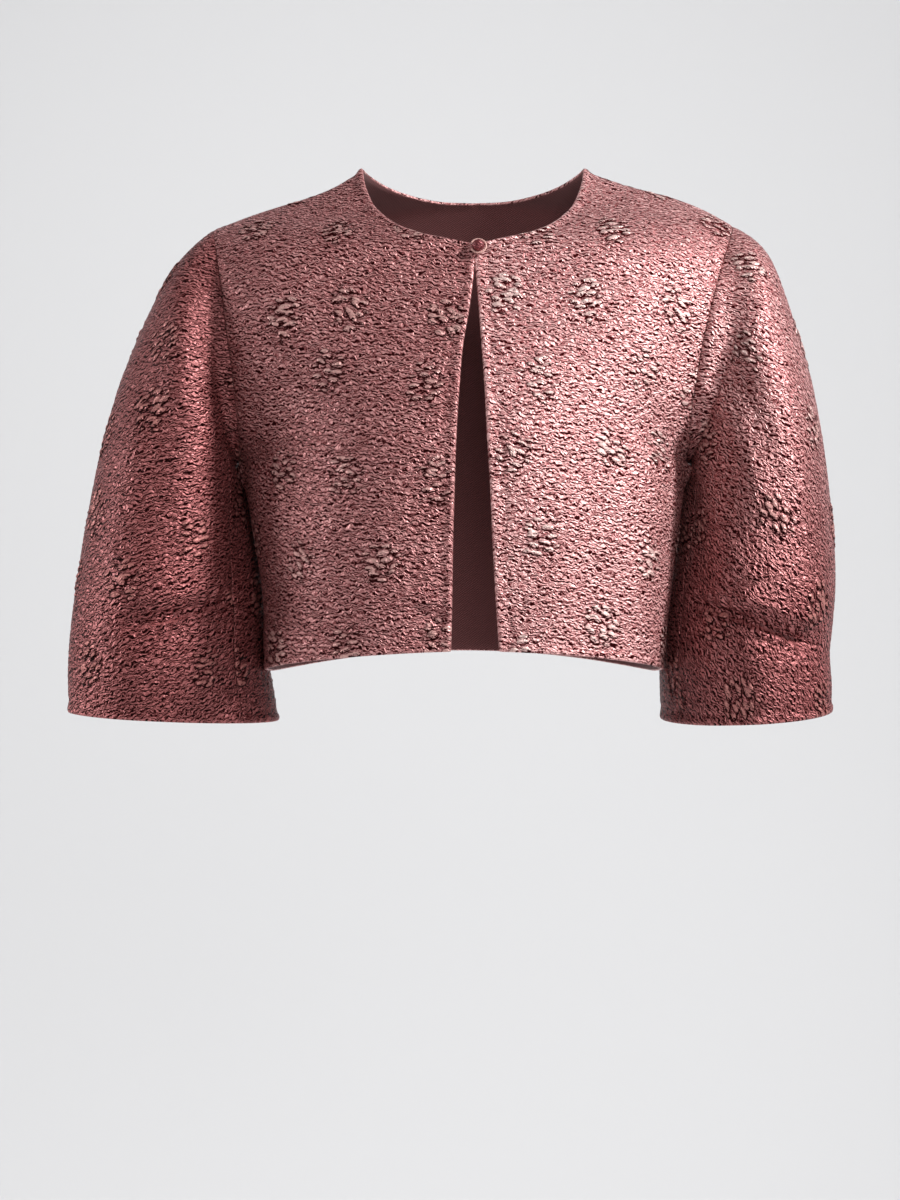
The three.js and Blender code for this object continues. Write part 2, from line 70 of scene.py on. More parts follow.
# Centre edge of each front, from the hem up.
FRONT_EDGE = table("z right left y", [
    (-340, -17.2, 18.6, -119),
    (-300, -16.4, 16.0, -122),
    (-260, -15.8, 13.8, -124.5),
    (-220, -14.6, 12.0, -125.5),
    (-190, -13.6, 10.2, -124.5),
    (-150, -11.2, 8.2, -118),
    (-120, -8.6, 6.2, -109),
    (-95, -4.4, 4.4, -99),
    (-70, -1.2, 2.6, -87.5),
    (-56, -0.1, 1.4, -81),
    (-45, 0.3, 1.1, -76),
])

# Neckline of the front, from the middle to the neck point, and of the back.
FRONT_NECK = table("at x y z", [
    (0, 0, -76, -45),
    (0.16, 22, -73.5, -40),
    (0.3, 40, -67, -35.5),
    (0.46, 57, -56, -28),
    (0.6, 68, -43, -19),
    (0.76, 76, -27, -8),
    (0.9, 82, -10, 8),
    (1, 84, 3, 20),
])
BACK_NECK = table("at x y z", [
    (0, 0, 61, 0),
    (0.25, 26, 57.5, 1),
    (0.5, 49, 48, 5),
    (0.72, 67, 34, 10.5),
    (0.88, 79, 17, 16.5),
    (1, 84, 3, 20),
])

# Middle line of the back, and the side seams from the hem to the underarm.
BACK_MIDDLE = table("z y", [
    (-342, 96),
    (-300, 98),
    (-250, 101),
    (-200, 104),
    (-150, 104.5),
    (-100, 99),
    (-60, 89),
    (-30, 77),
    (0, 61),
])
SIDE_SEAM = table("z right left y", [
    (-356, 151, 136.5, 3),
    (-342, 152, 138, 3),
    (-310, 152, 141.5, 3),
    (-275, 157, 146.5, 3.5),
    (-245, 163.5, 152, 4),
    (-220, 170, 157, 4),
])

# How the middle of the body stands off to the right below the shoulders.
SWAY = table("z x", [(-360, -7.5), (-200, -7.5), (-110, -6), (-60, -2.5), (-26, 0), (30, 0)])

# Course of each row across the body: its angles and lengths at both ends, and how its height changes.
FRONT_COURSE = table("row lean flat turn round ease sag", [
    (0, 0, 0.68, 102, 92, 0.5, 0),
    (5, 0, 0.66, 101, 86, 0.5, 0),
    (9, 0, 0.58, 92, 68, 0.5, 0),
    (12, 0, 0.5, 62, 58, 0.5, 0),
    (16, 0, 0.44, 44, 56, 0.5, 0),
    (20, -2, 0.4, 40, 54, 0.5, 0),
    (23, -8, 0.36, 34, 50, 0.35, 1.5),
    (25, -8, 0.34, 22, 42, 0.15, 4),
    (27, 2, 0.33, 3, 36, 0, 5.5),
])
BACK_COURSE = table("row lean flat turn round ease sag", [
    (0, 0, 0.56, 83, 66, 1, 0),
    (5, 0, 0.55, 83, 66, 1, 0),
    (9, 0, 0.54, 90, 60, 1, 0),
    (12, 0, 0.5, 60, 54, 1, 0),
    (16, 0, 0.44, 38, 52, 1, 0),
    (21, 0, 0.38, 34, 48, 1, 0),
    (24, -4, 0.35, 26, 44, 0.6, 2),
    (27, -2, 0.33, -3, 36, 0, 5.5),
])

# Rings of each sleeve below the armhole.
RIGHT_SLEEVE = table("at outX outZ inX inZ y front back dip", [
    (0.05, 206, -35, 177, -201, 6.5, -59, 71, 0),
    (0.13, 222.5, -53, 176.3, -207, 5, -66, 75, 0),
    (0.23, 242, -88, 171.5, -220, 3, -74, 77, 0),
    (0.35, 261, -133, 166, -238, 0, -80, 76, 0),
    (0.47, 275, -180, 162, -259, -4, -84, 72, 0),
    (0.59, 285.5, -230, 158, -283, -8, -85, 66, 0),
    (0.72, 294.5, -285, 155, -312, -12, -85, 58, 0),
    (0.86, 300.5, -338, 153.5, -350, -16, -78, 47, 2),
    (1, 301, -386, 146, -393, -19, -68, 36, 3),
])
LEFT_SLEEVE = table("at outX outZ inX inZ y front back dip", [
    (0.05, 208, -31, 163, -201, 6.5, -60, 71, 0),
    (0.13, 223, -48, 162.3, -207, 5, -67, 75, 0),
    (0.23, 238, -88, 158.5, -220, 3, -75, 78, 0),
    (0.35, 251, -133, 154, -238, 0, -82, 78, 0),
    (0.47, 260, -180, 151, -259, -3, -87, 76, 0),
    (0.59, 266, -230, 147.5, -283, -6, -89, 72, 0),
    (0.72, 269, -285, 143.5, -312, -9, -88, 67, 1),
    (0.86, 263, -346, 141, -352, -12, -82, 60, 4),
    (1, 267, -385, 141.5, -392, -14, -72, 54, 6),
])

# Main folds: a soft trough along a line of the front or back, deeper than 0, or a ridge, less than 0.
FRONT_FOLDS = table("x0 z0 x1 z1 width depth", [
    (-200, -62, -186, -150, 13, 5),
    (-217, -80, -212, -150, 15, -3.5),
    (-243, -110, -226, -250, 17, 3),
    (152, -80, 156, -125, 18, 4.5),
    (196, -70, 188, -140, 15, 4),
    (176, -75, 170, -150, 9, -3),
    (-186, -305, -244, -320, 12, 4.5),
    (-205, -276, -250, -286, 20, -4),
    (-215, -345, -262, -352, 18, -3),
    (172, -307, 236, -333, 11, 4),
    (190, -280, 240, -300, 20, -5),
    (238, -332, 256, -342, 11, 5),
    (-120, -150, -140, -330, 26, 3),
    (-60, -200, -70, -335, 26, -2),
    (78, -190, 90, -335, 24, 2.5),
    (128, -200, 118, -335, 20, -2.5),
])
BACK_FOLDS = table("x0 z0 x1 z1 width depth", [
    (0, -70, -12, -330, 34, 4),
    (150, -95, 128, -235, 22, 5),
    (-156, -90, -138, -240, 22, 5),
    (80, -215, 92, -345, 24, -3),
    (-88, -205, -96, -345, 24, -3),
    (205, -110, 225, -230, 18, 4),
    (-212, -115, -246, -240, 18, 4),
    (175, -262, 235, -290, 16, -4),
    (-185, -265, -262, -292, 16, -4),
])
FOLD_TURN = (-15, 45)

SIDES = {
    "right": {"name": "right", "sign": -1, "rings": RIGHT_SLEEVE,
              "spread": 9, "sag": 1, "lift": 0, "rise": 0},
    "left": {"name": "left", "sign": 1, "rings": LEFT_SLEEVE,
             "spread": -9, "sag": 0.4, "lift": 0.9, "rise": 3},
}


# Form of the pieces, in millimetres.
def curve(keys, values, at):
    """Smooth curve through values at rising keys: a cubic in each span, whose slope at a key is the mean of
    the rises to either side, each weighted by the length of the other span."""
    values = np.asarray(values, float)
    at = np.asarray(at, float)
    side = (-1,) + (1,) * (values.ndim - 1)
    span = np.diff(keys).reshape(side)
    rise = np.diff(values, axis=0) / span
    middle = (span[1:] * rise[:-1] + span[:-1] * rise[1:]) / (span[:-1] + span[1:])
    slope = np.concatenate([rise[:1], middle, rise[-1:]])
    i = np.clip(np.searchsorted(keys, at) - 1, 0, len(keys) - 2)
    more = at.shape + (1,) * (values.ndim - 1)
    t = ((at - keys[i]) / np.diff(keys)[i]).reshape(more)
    length = np.diff(keys)[i].reshape(more)
    ends = values[i] * (1 + 2 * t) * (1 - t) ** 2 + values[i + 1] * (3 - 2 * t) * t ** 2
    return ends + length * t * (1 - t) * (slope[i] * (1 - t) - slope[i + 1] * t)


def read(columns, key, name, at):
    return curve(columns[key], columns[name], at)


def mix(a, b, t):
    return a + (b - a) * t


def smooth(low, high, value):
    t = np.clip((value - low) / (high - low), 0, 1)
    return t * t * (3 - 2 * t)


def armhole_point(side, step, face):
    """Upright egg: height by the cosine of the angle round it, reach to the front or back by its sine."""
    angle = np.pi * step / ARM_ROWS
    reach = -ARMHOLE["front"] if face == "front" else ARMHOLE["back"]
    share = (1 - np.cos(angle)) / 2
    z = ARMHOLE["z"] - ARMHOLE["half"] * np.cos(angle) + side["rise"] * share ** 2
    y = ARMHOLE["y"] - 2 * np.cos(angle) + reach * np.sin(angle) * (1 + ARMHOLE["egg"] * np.cos(angle))
    x = ARMHOLE["x"] - ARMHOLE["lean"] * np.cos(angle) - ARMHOLE["dip"] * np.sin(angle) ** 2
    return np.stack([side["sign"] * x + read(SWAY, "z", "x", z), y, z], -1)


def side_end(side, row, face):
    """Side end of a row: on the side seam, then round the armhole."""
    top = armhole_point(side, np.zeros(1), face)[0]
    keys = np.append(SIDE_SEAM["z"], top[2])
    z = mix(SIDE_SEAM["z"][0], top[2], np.minimum(row, SIDE_ROWS) / SIDE_ROWS)
    x = curve(keys, np.append(side["sign"] * SIDE_SEAM[side["name"]], top[0]), z)
    y = curve(keys, np.append(SIDE_SEAM["y"], top[1]), z)
    over = armhole_point(side, np.maximum(row - SIDE_ROWS, 0), face)
    return np.where((row >= SIDE_ROWS)[..., None], over, np.stack([x, y, z], -1))


def middle_end(side, row, face):
    """Middle end of a row: on the centre edge or the middle of the back, then round the neckline."""
    front = face == "front"
    corner = FRONT_NECK_ROW if front else BACK_NECK_ROW
    neck = FRONT_NECK if front else BACK_NECK
    first = FRONT_EDGE["z"][0] if front else BACK_MIDDLE["z"][0]
    z = mix(first, neck["z"][0], np.minimum(row, corner) / corner)
    x = read(FRONT_EDGE, "z", side["name"], z) if front else read(SWAY, "z", "x", z)
    low = np.stack([x, read(FRONT_EDGE if front else BACK_MIDDLE, "z", "y", z), z], -1)
    at = np.clip((row - corner) / (TOP_ROW - corner), 0, 1)
    round_neck = [side["sign"] * read(neck, "at", "x", at)] + [read(neck, "at", name, at) for name in "yz"]
    return np.where((row <= corner)[..., None], low, np.stack(round_neck, -1))


# Highest values of the two curves that lift a row near the side and let it sag near the middle.
CREST_TOP = 0.148
SAG_TOP = 0.1055


def body_point(side, row, across, face):
    """Point of a front or of half the back: along its row, a cubic curve in plan from the middle end
    (across 0) to the side end (across 1), with the row dipping just before the underarm."""
    near = (1 - across) / 0.1
    row = row - np.exp(-(((row - SIDE_ROWS - 0.5) / 3) ** 2)) * near * np.exp(1 - near)
    course = FRONT_COURSE if face == "front" else BACK_COURSE
    shape = {name: read(course, "row", name, row) for name in course if name != "row"}
    start = middle_end(side, row, face)
    end = side_end(side, row, face)
    away = 1 if face == "front" else -1
    lean, turn = np.radians(shape["lean"]), np.radians(shape["turn"])
    flat = shape["flat"] * np.abs(end[..., 0] - start[..., 0])
    t = across
    weights = [(1 - t) ** 3, 3 * t * (1 - t) ** 2, 3 * t * t * (1 - t), t ** 3]

    def bend(axis, leave, arrive):
        ends = [start[..., axis], start[..., axis] + leave * flat, end[..., axis] - arrive * shape["round"]]
        return sum(w * value for w, value in zip(weights, ends + [end[..., axis]]))

    x = bend(0, side["sign"] * np.cos(lean), side["sign"] * np.cos(turn))
    y = bend(1, away * np.sin(lean), away * np.sin(turn))
    eased = mix(t, t * t * (3 - 2 * t), shape["ease"])
    crest = side["lift"] * t * t * (1 - t) / CREST_TOP - side["sag"] * t * (1 - t) ** 3 / SAG_TOP
    return np.stack([x, y, mix(start[..., 2], end[..., 2], eased) + shape["sag"] * crest], -1)


def sleeve_point(side, step, down):
    """Point of a sleeve: step counts round the armhole from the underarm over the front, and down runs from
    0 at the armhole to 1 at the hem, on a smooth line through the rings."""
    step = np.mod(step, 2 * ARM_ROWS)
    angle = np.pi * step / ARM_ROWS
    front = armhole_point(side, step, "front")
    back = armhole_point(side, 2 * ARM_ROWS - step, "back")
    line = [np.where((step <= ARM_ROWS)[..., None], front, back)]
    rings = side["rings"]
    for i, at in enumerate(rings["at"]):
        ring = {name: column[i] for name, column in rings.items()}
        turn = angle + np.radians(side["spread"]) * min(1, 2 * at) * np.sin(angle)
        reach = np.where(np.sin(turn) > 0, ring["y"] - ring["front"], ring["back"] - ring["y"])
        share = (1 - np.cos(turn)) / 2
        x = side["sign"] * mix(ring["inX"], ring["outX"], share)
        z = mix(ring["inZ"], ring["outZ"], share) - ring["dip"] * np.maximum(0, np.sin(turn))
        tuck = TUCK * min(1, 3 * at) * (1 - share) ** 2
        line.append(np.stack([x, ring["y"] - reach * np.sin(turn) + tuck, z], -1))
    keys = np.append(0, rings["at"])
    return curve(keys, np.stack(line), down)


def fold_distance(points, fold):
    """Distance in the front view from a fold's line, in its widths."""
    start = np.array([fold["x0"], fold["z0"]])
    along = np.array([fold["x1"], fold["z1"]]) - start
    away = points[..., [0, 2]] - start
    t = np.clip(away @ along / (along @ along), 0, 1)
    return np.linalg.norm(away - t[..., None] * along, axis=-1) / fold["width"]


def rows_of(columns):
    return [dict(zip(columns, row)) for row in zip(*columns.values())]


def folded(points):
    """The points moved by the folds: a trough takes the front back and the back forwards."""
    share = smooth(*FOLD_TURN, points[..., 1])
    move = 0
    for folds, facing in ((FRONT_FOLDS, 1 - share), (BACK_FOLDS, -share)):
        for fold in rows_of(folds):
            move = move + fold["depth"] * facing * np.exp(-fold_distance(points, fold) ** 2)
    return points + move[..., None] * np.array([0, 1, 0])


# Grids: each piece is one, the back two halves joined along the middle.
def body_grid(side, face):
    corner = 0 if face == "front" else BACK_NECK_ROW

    def point(rows, columns):
        row, across = np.meshgrid(rows, columns / HALF_COLUMNS, indexing="ij")
        return folded(body_point(side, row, across, face))

    return {
        "point": point, "rows": TOP_ROW, "columns": HALF_COLUMNS, "sign": side["sign"],
        "turned": (side["sign"] < 0) == (face == "front"),
        "joined": corner, "neck": FRONT_NECK_ROW if face == "front" else BACK_NECK_ROW,
        "free_row": 0, "free_column": True,
    }


def sleeve_grid(side, first, last):
    def point(rows, columns):
        return folded(sleeve_point(side, first + columns, rows / SLEEVE_ROWS))

    return {
        "point": point, "rows": SLEEVE_ROWS, "columns": last - first, "sign": side["sign"],
        "turned": side["sign"] > 0,
        "joined": 0, "neck": 0, "free_row": SLEEVE_ROWS, "free_column": False,
    }


def cells(ids, turned):
    """Corners of each cell of a grid of point numbers, in the outward order."""
    corners = [ids[:-1, :-1], ids[:-1, 1:], ids[1:, 1:], ids[1:, :-1]]
    faces = np.stack([c.ravel() for c in corners], -1)
    return faces[:, ::-1] if turned else faces


def numbered(grids, rows, columns):
    """Point numbers of each grid, those of the second half's joined middle taken from the first."""
    ids = []
    start = 0
    for grid in grids:
        shape = (grid["rows"] * rows + 1, grid["columns"] * columns + 1)
        ids.append(start + np.arange(shape[0] * shape[1]).reshape(shape))
        start += shape[0] * shape[1]
    if len(grids) > 1:
        joined = grids[1]["joined"] * rows + 1
        ids[1][:joined, 0] = ids[0][:joined, 0]
    return ids, start


def coarse_of(grids):
    """The piece at the solids' own points: places, triangles and point numbers."""
    ids, count = numbered(grids, 1, 1)
    points = np.zeros((count, 3))
    faces = []
    for grid, own in zip(grids, ids):
        place = grid["point"](np.arange(grid["rows"] + 1.0), np.arange(grid["columns"] + 1.0))
        points[own.ravel()] = place.reshape(-1, 3)
        quads = cells(own, grid["turned"])
        faces += [quads[:, [0, 1, 2]], quads[:, [0, 2, 3]]]
    return points, np.concatenate(faces), ids


def shared_normals(coarse):
    """Outward directions at the solids' points, the same for all pieces that meet in one."""
    points = np.concatenate([c[0] for c in coarse])
    _, same = np.unique(np.round(points * 50).astype(int), axis=0, return_inverse=True)
    total = np.zeros((same.max() + 1, 3))
    start = 0
    for place, faces, _ in coarse:
        a, b, c = (place[faces[:, k]] for k in range(3))
        normal = np.cross(b - a, c - a)
        for k in range(3):
            np.add.at(total, same.ravel()[start + faces[:, k]], normal)
        start += len(place)
    total /= np.maximum(np.linalg.norm(total, axis=1, keepdims=True), 1e-9)
    normals = total[same.ravel()]
    ends = np.cumsum([len(c[0]) for c in coarse])[:-1]
    return np.split(normals, ends)


def flat_cut(points, faces, start):
    """The cut that a curved piece was sewn from, as complex places in millimetres: each face in turn is
    turned to fit its place, and the places are solved so that all faces keep their own shape as nearly as
    they can."""
    a, b, c = (points[faces[:, k]] for k in range(3))
    length = np.maximum(np.linalg.norm(b - a, axis=1), 1e-6)
    along = (b - a) / length[:, None]
    x = np.sum((c - a) * along, axis=1)
    y = np.maximum(np.linalg.norm(c - a - x[:, None] * along, axis=1), 1e-3)
    flat = np.stack([np.zeros(len(x)), length, x + 1j * y], -1)
    matrix = np.zeros((len(points), len(points)))
    edges = []
    for k in range(3):
        i, j = (k + 1) % 3, (k + 2) % 3
        to_i, to_j = flat[:, i] - flat[:, k], flat[:, j] - flat[:, k]
        weight = np.clip((np.conj(to_i) * to_j).real / np.abs((np.conj(to_i) * to_j).imag), 0.05, 5)
        np.add.at(matrix, (faces[:, i], faces[:, i]), weight)
        np.add.at(matrix, (faces[:, j], faces[:, j]), weight)
        np.add.at(matrix, (faces[:, i], faces[:, j]), -weight)
        np.add.at(matrix, (faces[:, j], faces[:, i]), -weight)
        edges.append((faces[:, i], faces[:, j], weight, flat[:, j] - flat[:, i]))
    matrix[faces[0, 0], faces[0, 0]] += 1
    matrix += 1e-9 * np.eye(len(points))
    solve = np.linalg.inv(matrix)
    place = start.astype(complex)
    for _ in range(60):
        turn = sum(w * np.conj(edge) * (place[j] - place[i]) for i, j, w, edge in edges)
        turn = turn / np.maximum(np.abs(turn), 1e-9)
        pull = np.zeros(len(points), complex)
        pull[faces[0, 0]] = place[faces[0, 0]]
        for i, j, w, edge in edges:
            np.add.at(pull, i, -w * turn * edge)
            np.add.at(pull, j, w * turn * edge)
        place = solve @ pull
    return place


def first_guess(kind, grids, points, ids):
    """A rough flat layout to start from: lengths along each row and down each column of the grid."""
    guess = np.zeros(len(points), complex)
    for grid, own in zip(grids, ids):
        place = points[own]
        across = np.linalg.norm(np.diff(place, axis=1)[..., :2 if kind in ("front", "back") else 3], axis=-1)
        across = np.concatenate([np.zeros((len(own), 1)), np.cumsum(across, axis=1)], axis=1)
        if kind in ("front", "back"):
            across += np.abs(place[:, :1, 0])
            rise = place[..., 2]
        else:
            across -= across[:, [own.shape[1] // 2]]
            down = np.linalg.norm(np.diff(place, axis=0), axis=-1)
            rise = -np.concatenate([np.zeros((1, own.shape[1])), np.cumsum(down, axis=0)])
        outward = grid["sign"] * (-1 if kind == "back" else 1)
        guess[own.ravel()] = (outward * across + 1j * rise).ravel()
    return guess


# Rows that the length of a body piece and of a sleeve piece runs up to.
BODY_HIGH = 18
SLEEVE_HIGH = 10


def upright(kind, place, ids):
    """The layout turned so that the cloth's length runs up, at the middle of the piece."""
    own = ids[0]
    column = 0 if kind in ("front", "back") else own.shape[1] // 2
    low, high = (0, BODY_HIGH) if kind in ("front", "back") else (-1, SLEEVE_HIGH)
    turn = place[own[high, column]] - place[own[low, column]]
    return place * np.conj(turn / abs(turn)) * 1j


def between(values, rows, columns):
    """Values at the solids' grid points carried to the finer grid, straight between its points."""
    for axis, times in ((0, rows), (1, columns)):
        values = np.moveaxis(values, axis, 0)
        at = np.arange((len(values) - 1) * times + 1) / times
        low = np.minimum(at.astype(int), len(values) - 2)
        share = (at - low).reshape((-1,) + (1,) * (values.ndim - 1))
        values = np.moveaxis(mix(values[low], values[low + 1], share), 0, axis)
    return values


# Relief on the flat cut.
def scatter(i, j, seed):
    """An even random number from 0 to 1 for each cell of a lattice, always the same for its seed."""
    return np.modf(np.abs(np.sin(i * 127.1 + j * 311.7 + seed * 74.7) * 43758.5453))[0]


def waves(x, y, size, seed):
    """Smooth random field from -1 to 1, whose hills are about size apart."""
    u, v = x / size, y / size
    i, j = np.floor(u), np.floor(v)
    a, b = smooth(0, 1, u - i), smooth(0, 1, v - j)
    low = mix(scatter(i, j, seed), scatter(i + 1, j, seed), a)
    high = mix(scatter(i, j + 1, seed), scatter(i + 1, j + 1, seed), a)
    return 2 * mix(low, high, b) - 1


def pillows(x, y, width, height, seed, point=0.0):
    """Small puffs laid like bricks, each off its place by chance: 1 in the middle of each, falling evenly
    to 0 at its border and below 0 beyond, with a steeper lower side. They are oval, or almonds as point
    nears 1."""
    best = np.full(np.shape(x), -1.0)
    row0 = np.floor(y / height)
    for k in (-1, 0, 1):
        row = row0 + k
        shift = 0.5 * np.mod(row, 2)
        cell0 = np.floor(x / width - shift)
        for m in (-1, 0, 1):
            cell = cell0 + m
            away_x = x - (cell + shift + 0.5 + 0.5 * (scatter(cell, row, seed) - 0.5)) * width
            away_y = y - (row + 0.5 + 0.5 * (scatter(cell, row, seed + 1) - 0.5)) * height
            away_y = away_y + 0.5 * away_x * (scatter(cell, row, seed + 2) - 0.5)
            stretch = np.where(away_y < 0, 0.4, 0.62) * height
            size = 0.42 + 0.2 * scatter(cell, row, seed + 3)
            upward = np.abs(away_y) / stretch
            reach = (away_x / (size * width)) ** 2 + mix(upward ** 2, upward, point)
            best = np.maximum(best, 1 - np.sqrt(reach))
    return best


def domes(field):
    """Round tops over the puffs."""
    return np.sqrt(np.clip(field * (2 - field), 0, 1))


CRINKLE = {"width": 8.0, "height": 4.0, "rise": 0.55}
PUFF = {"width": 11.5, "height": 5.0, "rise": 1.5, "reach": 18.5, "apart": 72}
LIE = {"front_right": 6, "front_left": 12, "back": -8, "sleeve_top_right": -24, "sleeve_under_right": -20,
       "sleeve_top_left": 42, "sleeve_under_left": 30}
# Painted light and shade of each piece, at the shoulder and at the hem: how far its colours are pushed from
# their deepest towards their palest shades, standing in for the light that piece gets.
PAINTED_LIGHT_BY_PIECE = {"front_right": (0.5, 0.46), "front_left": (1.15, 0.86), "back": (0.7, 0.6),
       "sleeve_top_right": (0.16, 0.06), "sleeve_under_right": (0.1, 0.05),
       "sleeve_top_left": (1.1, 0.1), "sleeve_under_left": (0.6, 0.1)}


def cluster_centres(place, seed):
    """Middles of the blister clusters: a lattice of rows set off by half, each off its place by chance."""
    low = np.array([place.real.min(), place.imag.min()])
    high = np.array([place.real.max(), place.imag.max()])
    apart = PUFF["apart"]
    centres = []
    for j in range(int((high[1] - low[1]) / (apart * 0.87)) + 1):
        for i in range(int((high[0] - low[0]) / apart) + 2):
            x = low[0] + (i + 0.5 * (j % 2) + 0.1 + 0.46 * (scatter(i, j, seed) - 0.5)) * apart
            y = low[1] + (j + 0.45 + 0.46 * (scatter(i, j, seed + 5) - 0.5)) * apart * 0.87
            centres.append((x, y, 6 * (i + 3 * j)))
    return centres


def crinkle(name, place):
    """Relief of the cloth in millimetres, and the field of the blisters at each point, above 0 on one, from
    its place on the flat cut: low ripples all over, and clusters of almond-shaped blisters."""
    seed = 10 * sorted(LIE).index(name)
    turned = place * np.exp(1j * np.radians(LIE[name]))
    x = turned.real + 2.2 * waves(turned.real, turned.imag, 9, seed)
    y = turned.imag + 1.6 * waves(turned.real, turned.imag, 11, seed + 1)
    small = domes(pillows(x, y, CRINKLE["width"], CRINKLE["height"], seed + 2, 0.5))
    height = CRINKLE["rise"] * small * (0.75 + 0.25 * waves(x, y, 17, seed + 3))
    blister = np.full(np.shape(x), -1.0)
    for cx, cy, own in cluster_centres(place, seed + 7):
        dx, dy = place.real - cx, place.imag - cy
        reach = np.hypot(dx / 0.8, dy) / PUFF["reach"] + 0.2 * waves(dx, dy, 9, own)
        inside = reach < 1.6
        lean = LIE[name] - 24 + 44 * scatter(own, 0, seed)
        turn = (dx + 1j * dy)[inside] * np.exp(1j * np.radians(lean))
        bent = turn.imag + 1.1 * waves(turn.real, turn.imag, 9, own + 1)
        puffs = pillows(turn.real + 1.5 * waves(turn.real, turn.imag, 5, own + 3), bent, PUFF["width"],
                        PUFF["height"], own + 2, 1.0)
        puffs = puffs - smooth(0.65, 1.3, reach[inside]) - 0.16 * scatter(own, 2, seed)
        blister[inside] = np.maximum(blister[inside], puffs)
    raised = domes(blister)
    return height * (1 - 0.7 * raised) + PUFF["rise"] * raised, blister, turned


# Finer creases of the front: soft troughs, deeper than 0, and ridges, less than 0, along lines in that view.
CREASES = table("x0 z0 x1 z1 width depth", [
    (163, -304, 196, -316, 3, 2.6),
    (196, -316, 237, -333, 3, 2.8),
    (170, -296, 200, -302, 8, -2.6),
    (200, -303, 236, -318, 8, -3.4),
    (168, -313, 232, -337, 2.6, -1.5),
    (-181, -302, -216, -314, 4, 2),
    (-216, -314, -242, -319, 4, 1.6),
    (-186, -293, -232, -303, 8, -2.2),
    (160, -215, 168, -300, 6, 2),
    (168, -190, 186, -285, 8, -1.5),
    (148, -118, 160, -160, 6, 1.8),
    (178, -150, 205, -215, 8, -1.6),
    (198, -145, 226, -228, 9, 1.8),
    (-181, -120, -176, -190, 6, 1.6),
    (-196, -128, -204, -215, 9, -1.4),
    (-171, -205, -176, -300, 6, 1.8),
    (-226, -170, -246, -262, 12, 1.4),
    (-17, -322, -40, -312, 5, 1.3),
    (-20, -306, -44, -300, 6, -1),
    (226, -150, 256, -360, 20, -4),
    (186, -325, 190, -380, 12, 2.5),
    (-226, -200, -262, -360, 26, -3),
    (100, -248, 138, -262, 9, 1.2),
    (-90, -262, -132, -250, 10, 1.2),
])

# Slack folds at the foot of each armhole, of the body (1) and of the sleeve (0), where they meet.
SLACK = table("body x y z size rise", [
    (1, -172, -11, -209, 9, 4),
    (0, -176, 19, -209, 9, 4),
    (1, 159.5, -11, -208, 9, 5),
    (0, 162, 19, -208, 9, 5),
])


def creased(kind, place, normal):
    """The places moved along the cloth's outward direction by the finer creases of the front and the
    slack."""
    front = 1 - smooth(-30, 10, place[..., 1])
    move = 0
    for crease in rows_of(CREASES):
        move = move - crease["depth"] * front * np.exp(-fold_distance(place, crease) ** 2)
    for fold in rows_of(SLACK):
        if bool(fold["body"]) == (kind in ("front", "back")):
            away = np.linalg.norm(place - np.array([fold["x"], fold["y"], fold["z"]]), axis=-1)
            below = smooth(0, 3.5, -200.2 - place[..., 2])
            move = move + fold["rise"] * below * np.exp(-(away / fold["size"]) ** 2)
    return place + move[..., None] * normal


# Darts near the elbow of each sleeve: the stitched line in the front view.
DARTS = {
    "sleeve_top_left": table("x z", [(163, -306.5), (193, -317), (218, -326), (236, -334.5)]),
    "sleeve_top_right": table("x z", [(-182, -305), (-218, -317), (-244, -322)]),
}


def dart_relief(name, points):
    """Groove of the stitched dart with the cloth puffed above it, a thin lit ridge below, and small pulls
    across."""
    if name not in DARTS:
        return 0
    line = DARTS[name]
    sign = np.sign(line["x"][0])
    order = np.argsort(line["x"])
    x, z = points[..., 0], points[..., 2]
    height = np.interp(x, line["x"][order], line["z"][order])
    span = (x - line["x"][0]) / (line["x"][-1] - line["x"][0])
    along = smooth(-0.08, 0.05, span) * (1 - smooth(0.92, 1.12, span)) * (points[..., 1] < 0)
    away = (z - height) * 0.93
    groove = -1.3 * np.exp(-(away / 1.4) ** 2)
    ridge = 0.7 * np.exp(-((away + 3.2) / 2.2) ** 2)
    pulls = np.cos(2 * np.pi * (sign * x + 0.35 * away) / 8.3 + 0.8 * waves(x, z, 14, 3))
    pulls = 1.0 * pulls * np.exp(-((away - 6) / 5) ** 2) + 0.4 * pulls * np.exp(-((away + 5) / 4) ** 2)
    return along * (groove + ridge + pulls)


def lengths(place, axis, back):
    """Length along the grid's lines from one border."""
    step = np.linalg.norm(np.diff(place, axis=axis), axis=-1)
    if back:
        step = np.flip(step, axis)
    total = np.cumsum(step, axis=axis)
    total = np.concatenate([np.zeros_like(np.take(total, [0], axis)), total], axis=axis)
    return np.flip(total, axis) if back else total


def border_distances(grid, place, rows):
    """Distance of each point from the nearest seam and from the nearest free edge."""
    first_row, last_row = lengths(place, 0, False), lengths(place, 0, True)
    first, last = lengths(place, 1, False), lengths(place, 1, True)
    if not grid["free_column"]:
        return np.minimum(np.minimum(first, last), first_row), last_row
    seam = np.minimum(last, last_row)
    corner = grid["joined"] * rows
    if corner:
        first[:corner + 1] = np.hypot(first[:corner + 1], lengths(place[:corner + 1], 0, True))
    return seam, np.minimum(first, first_row)


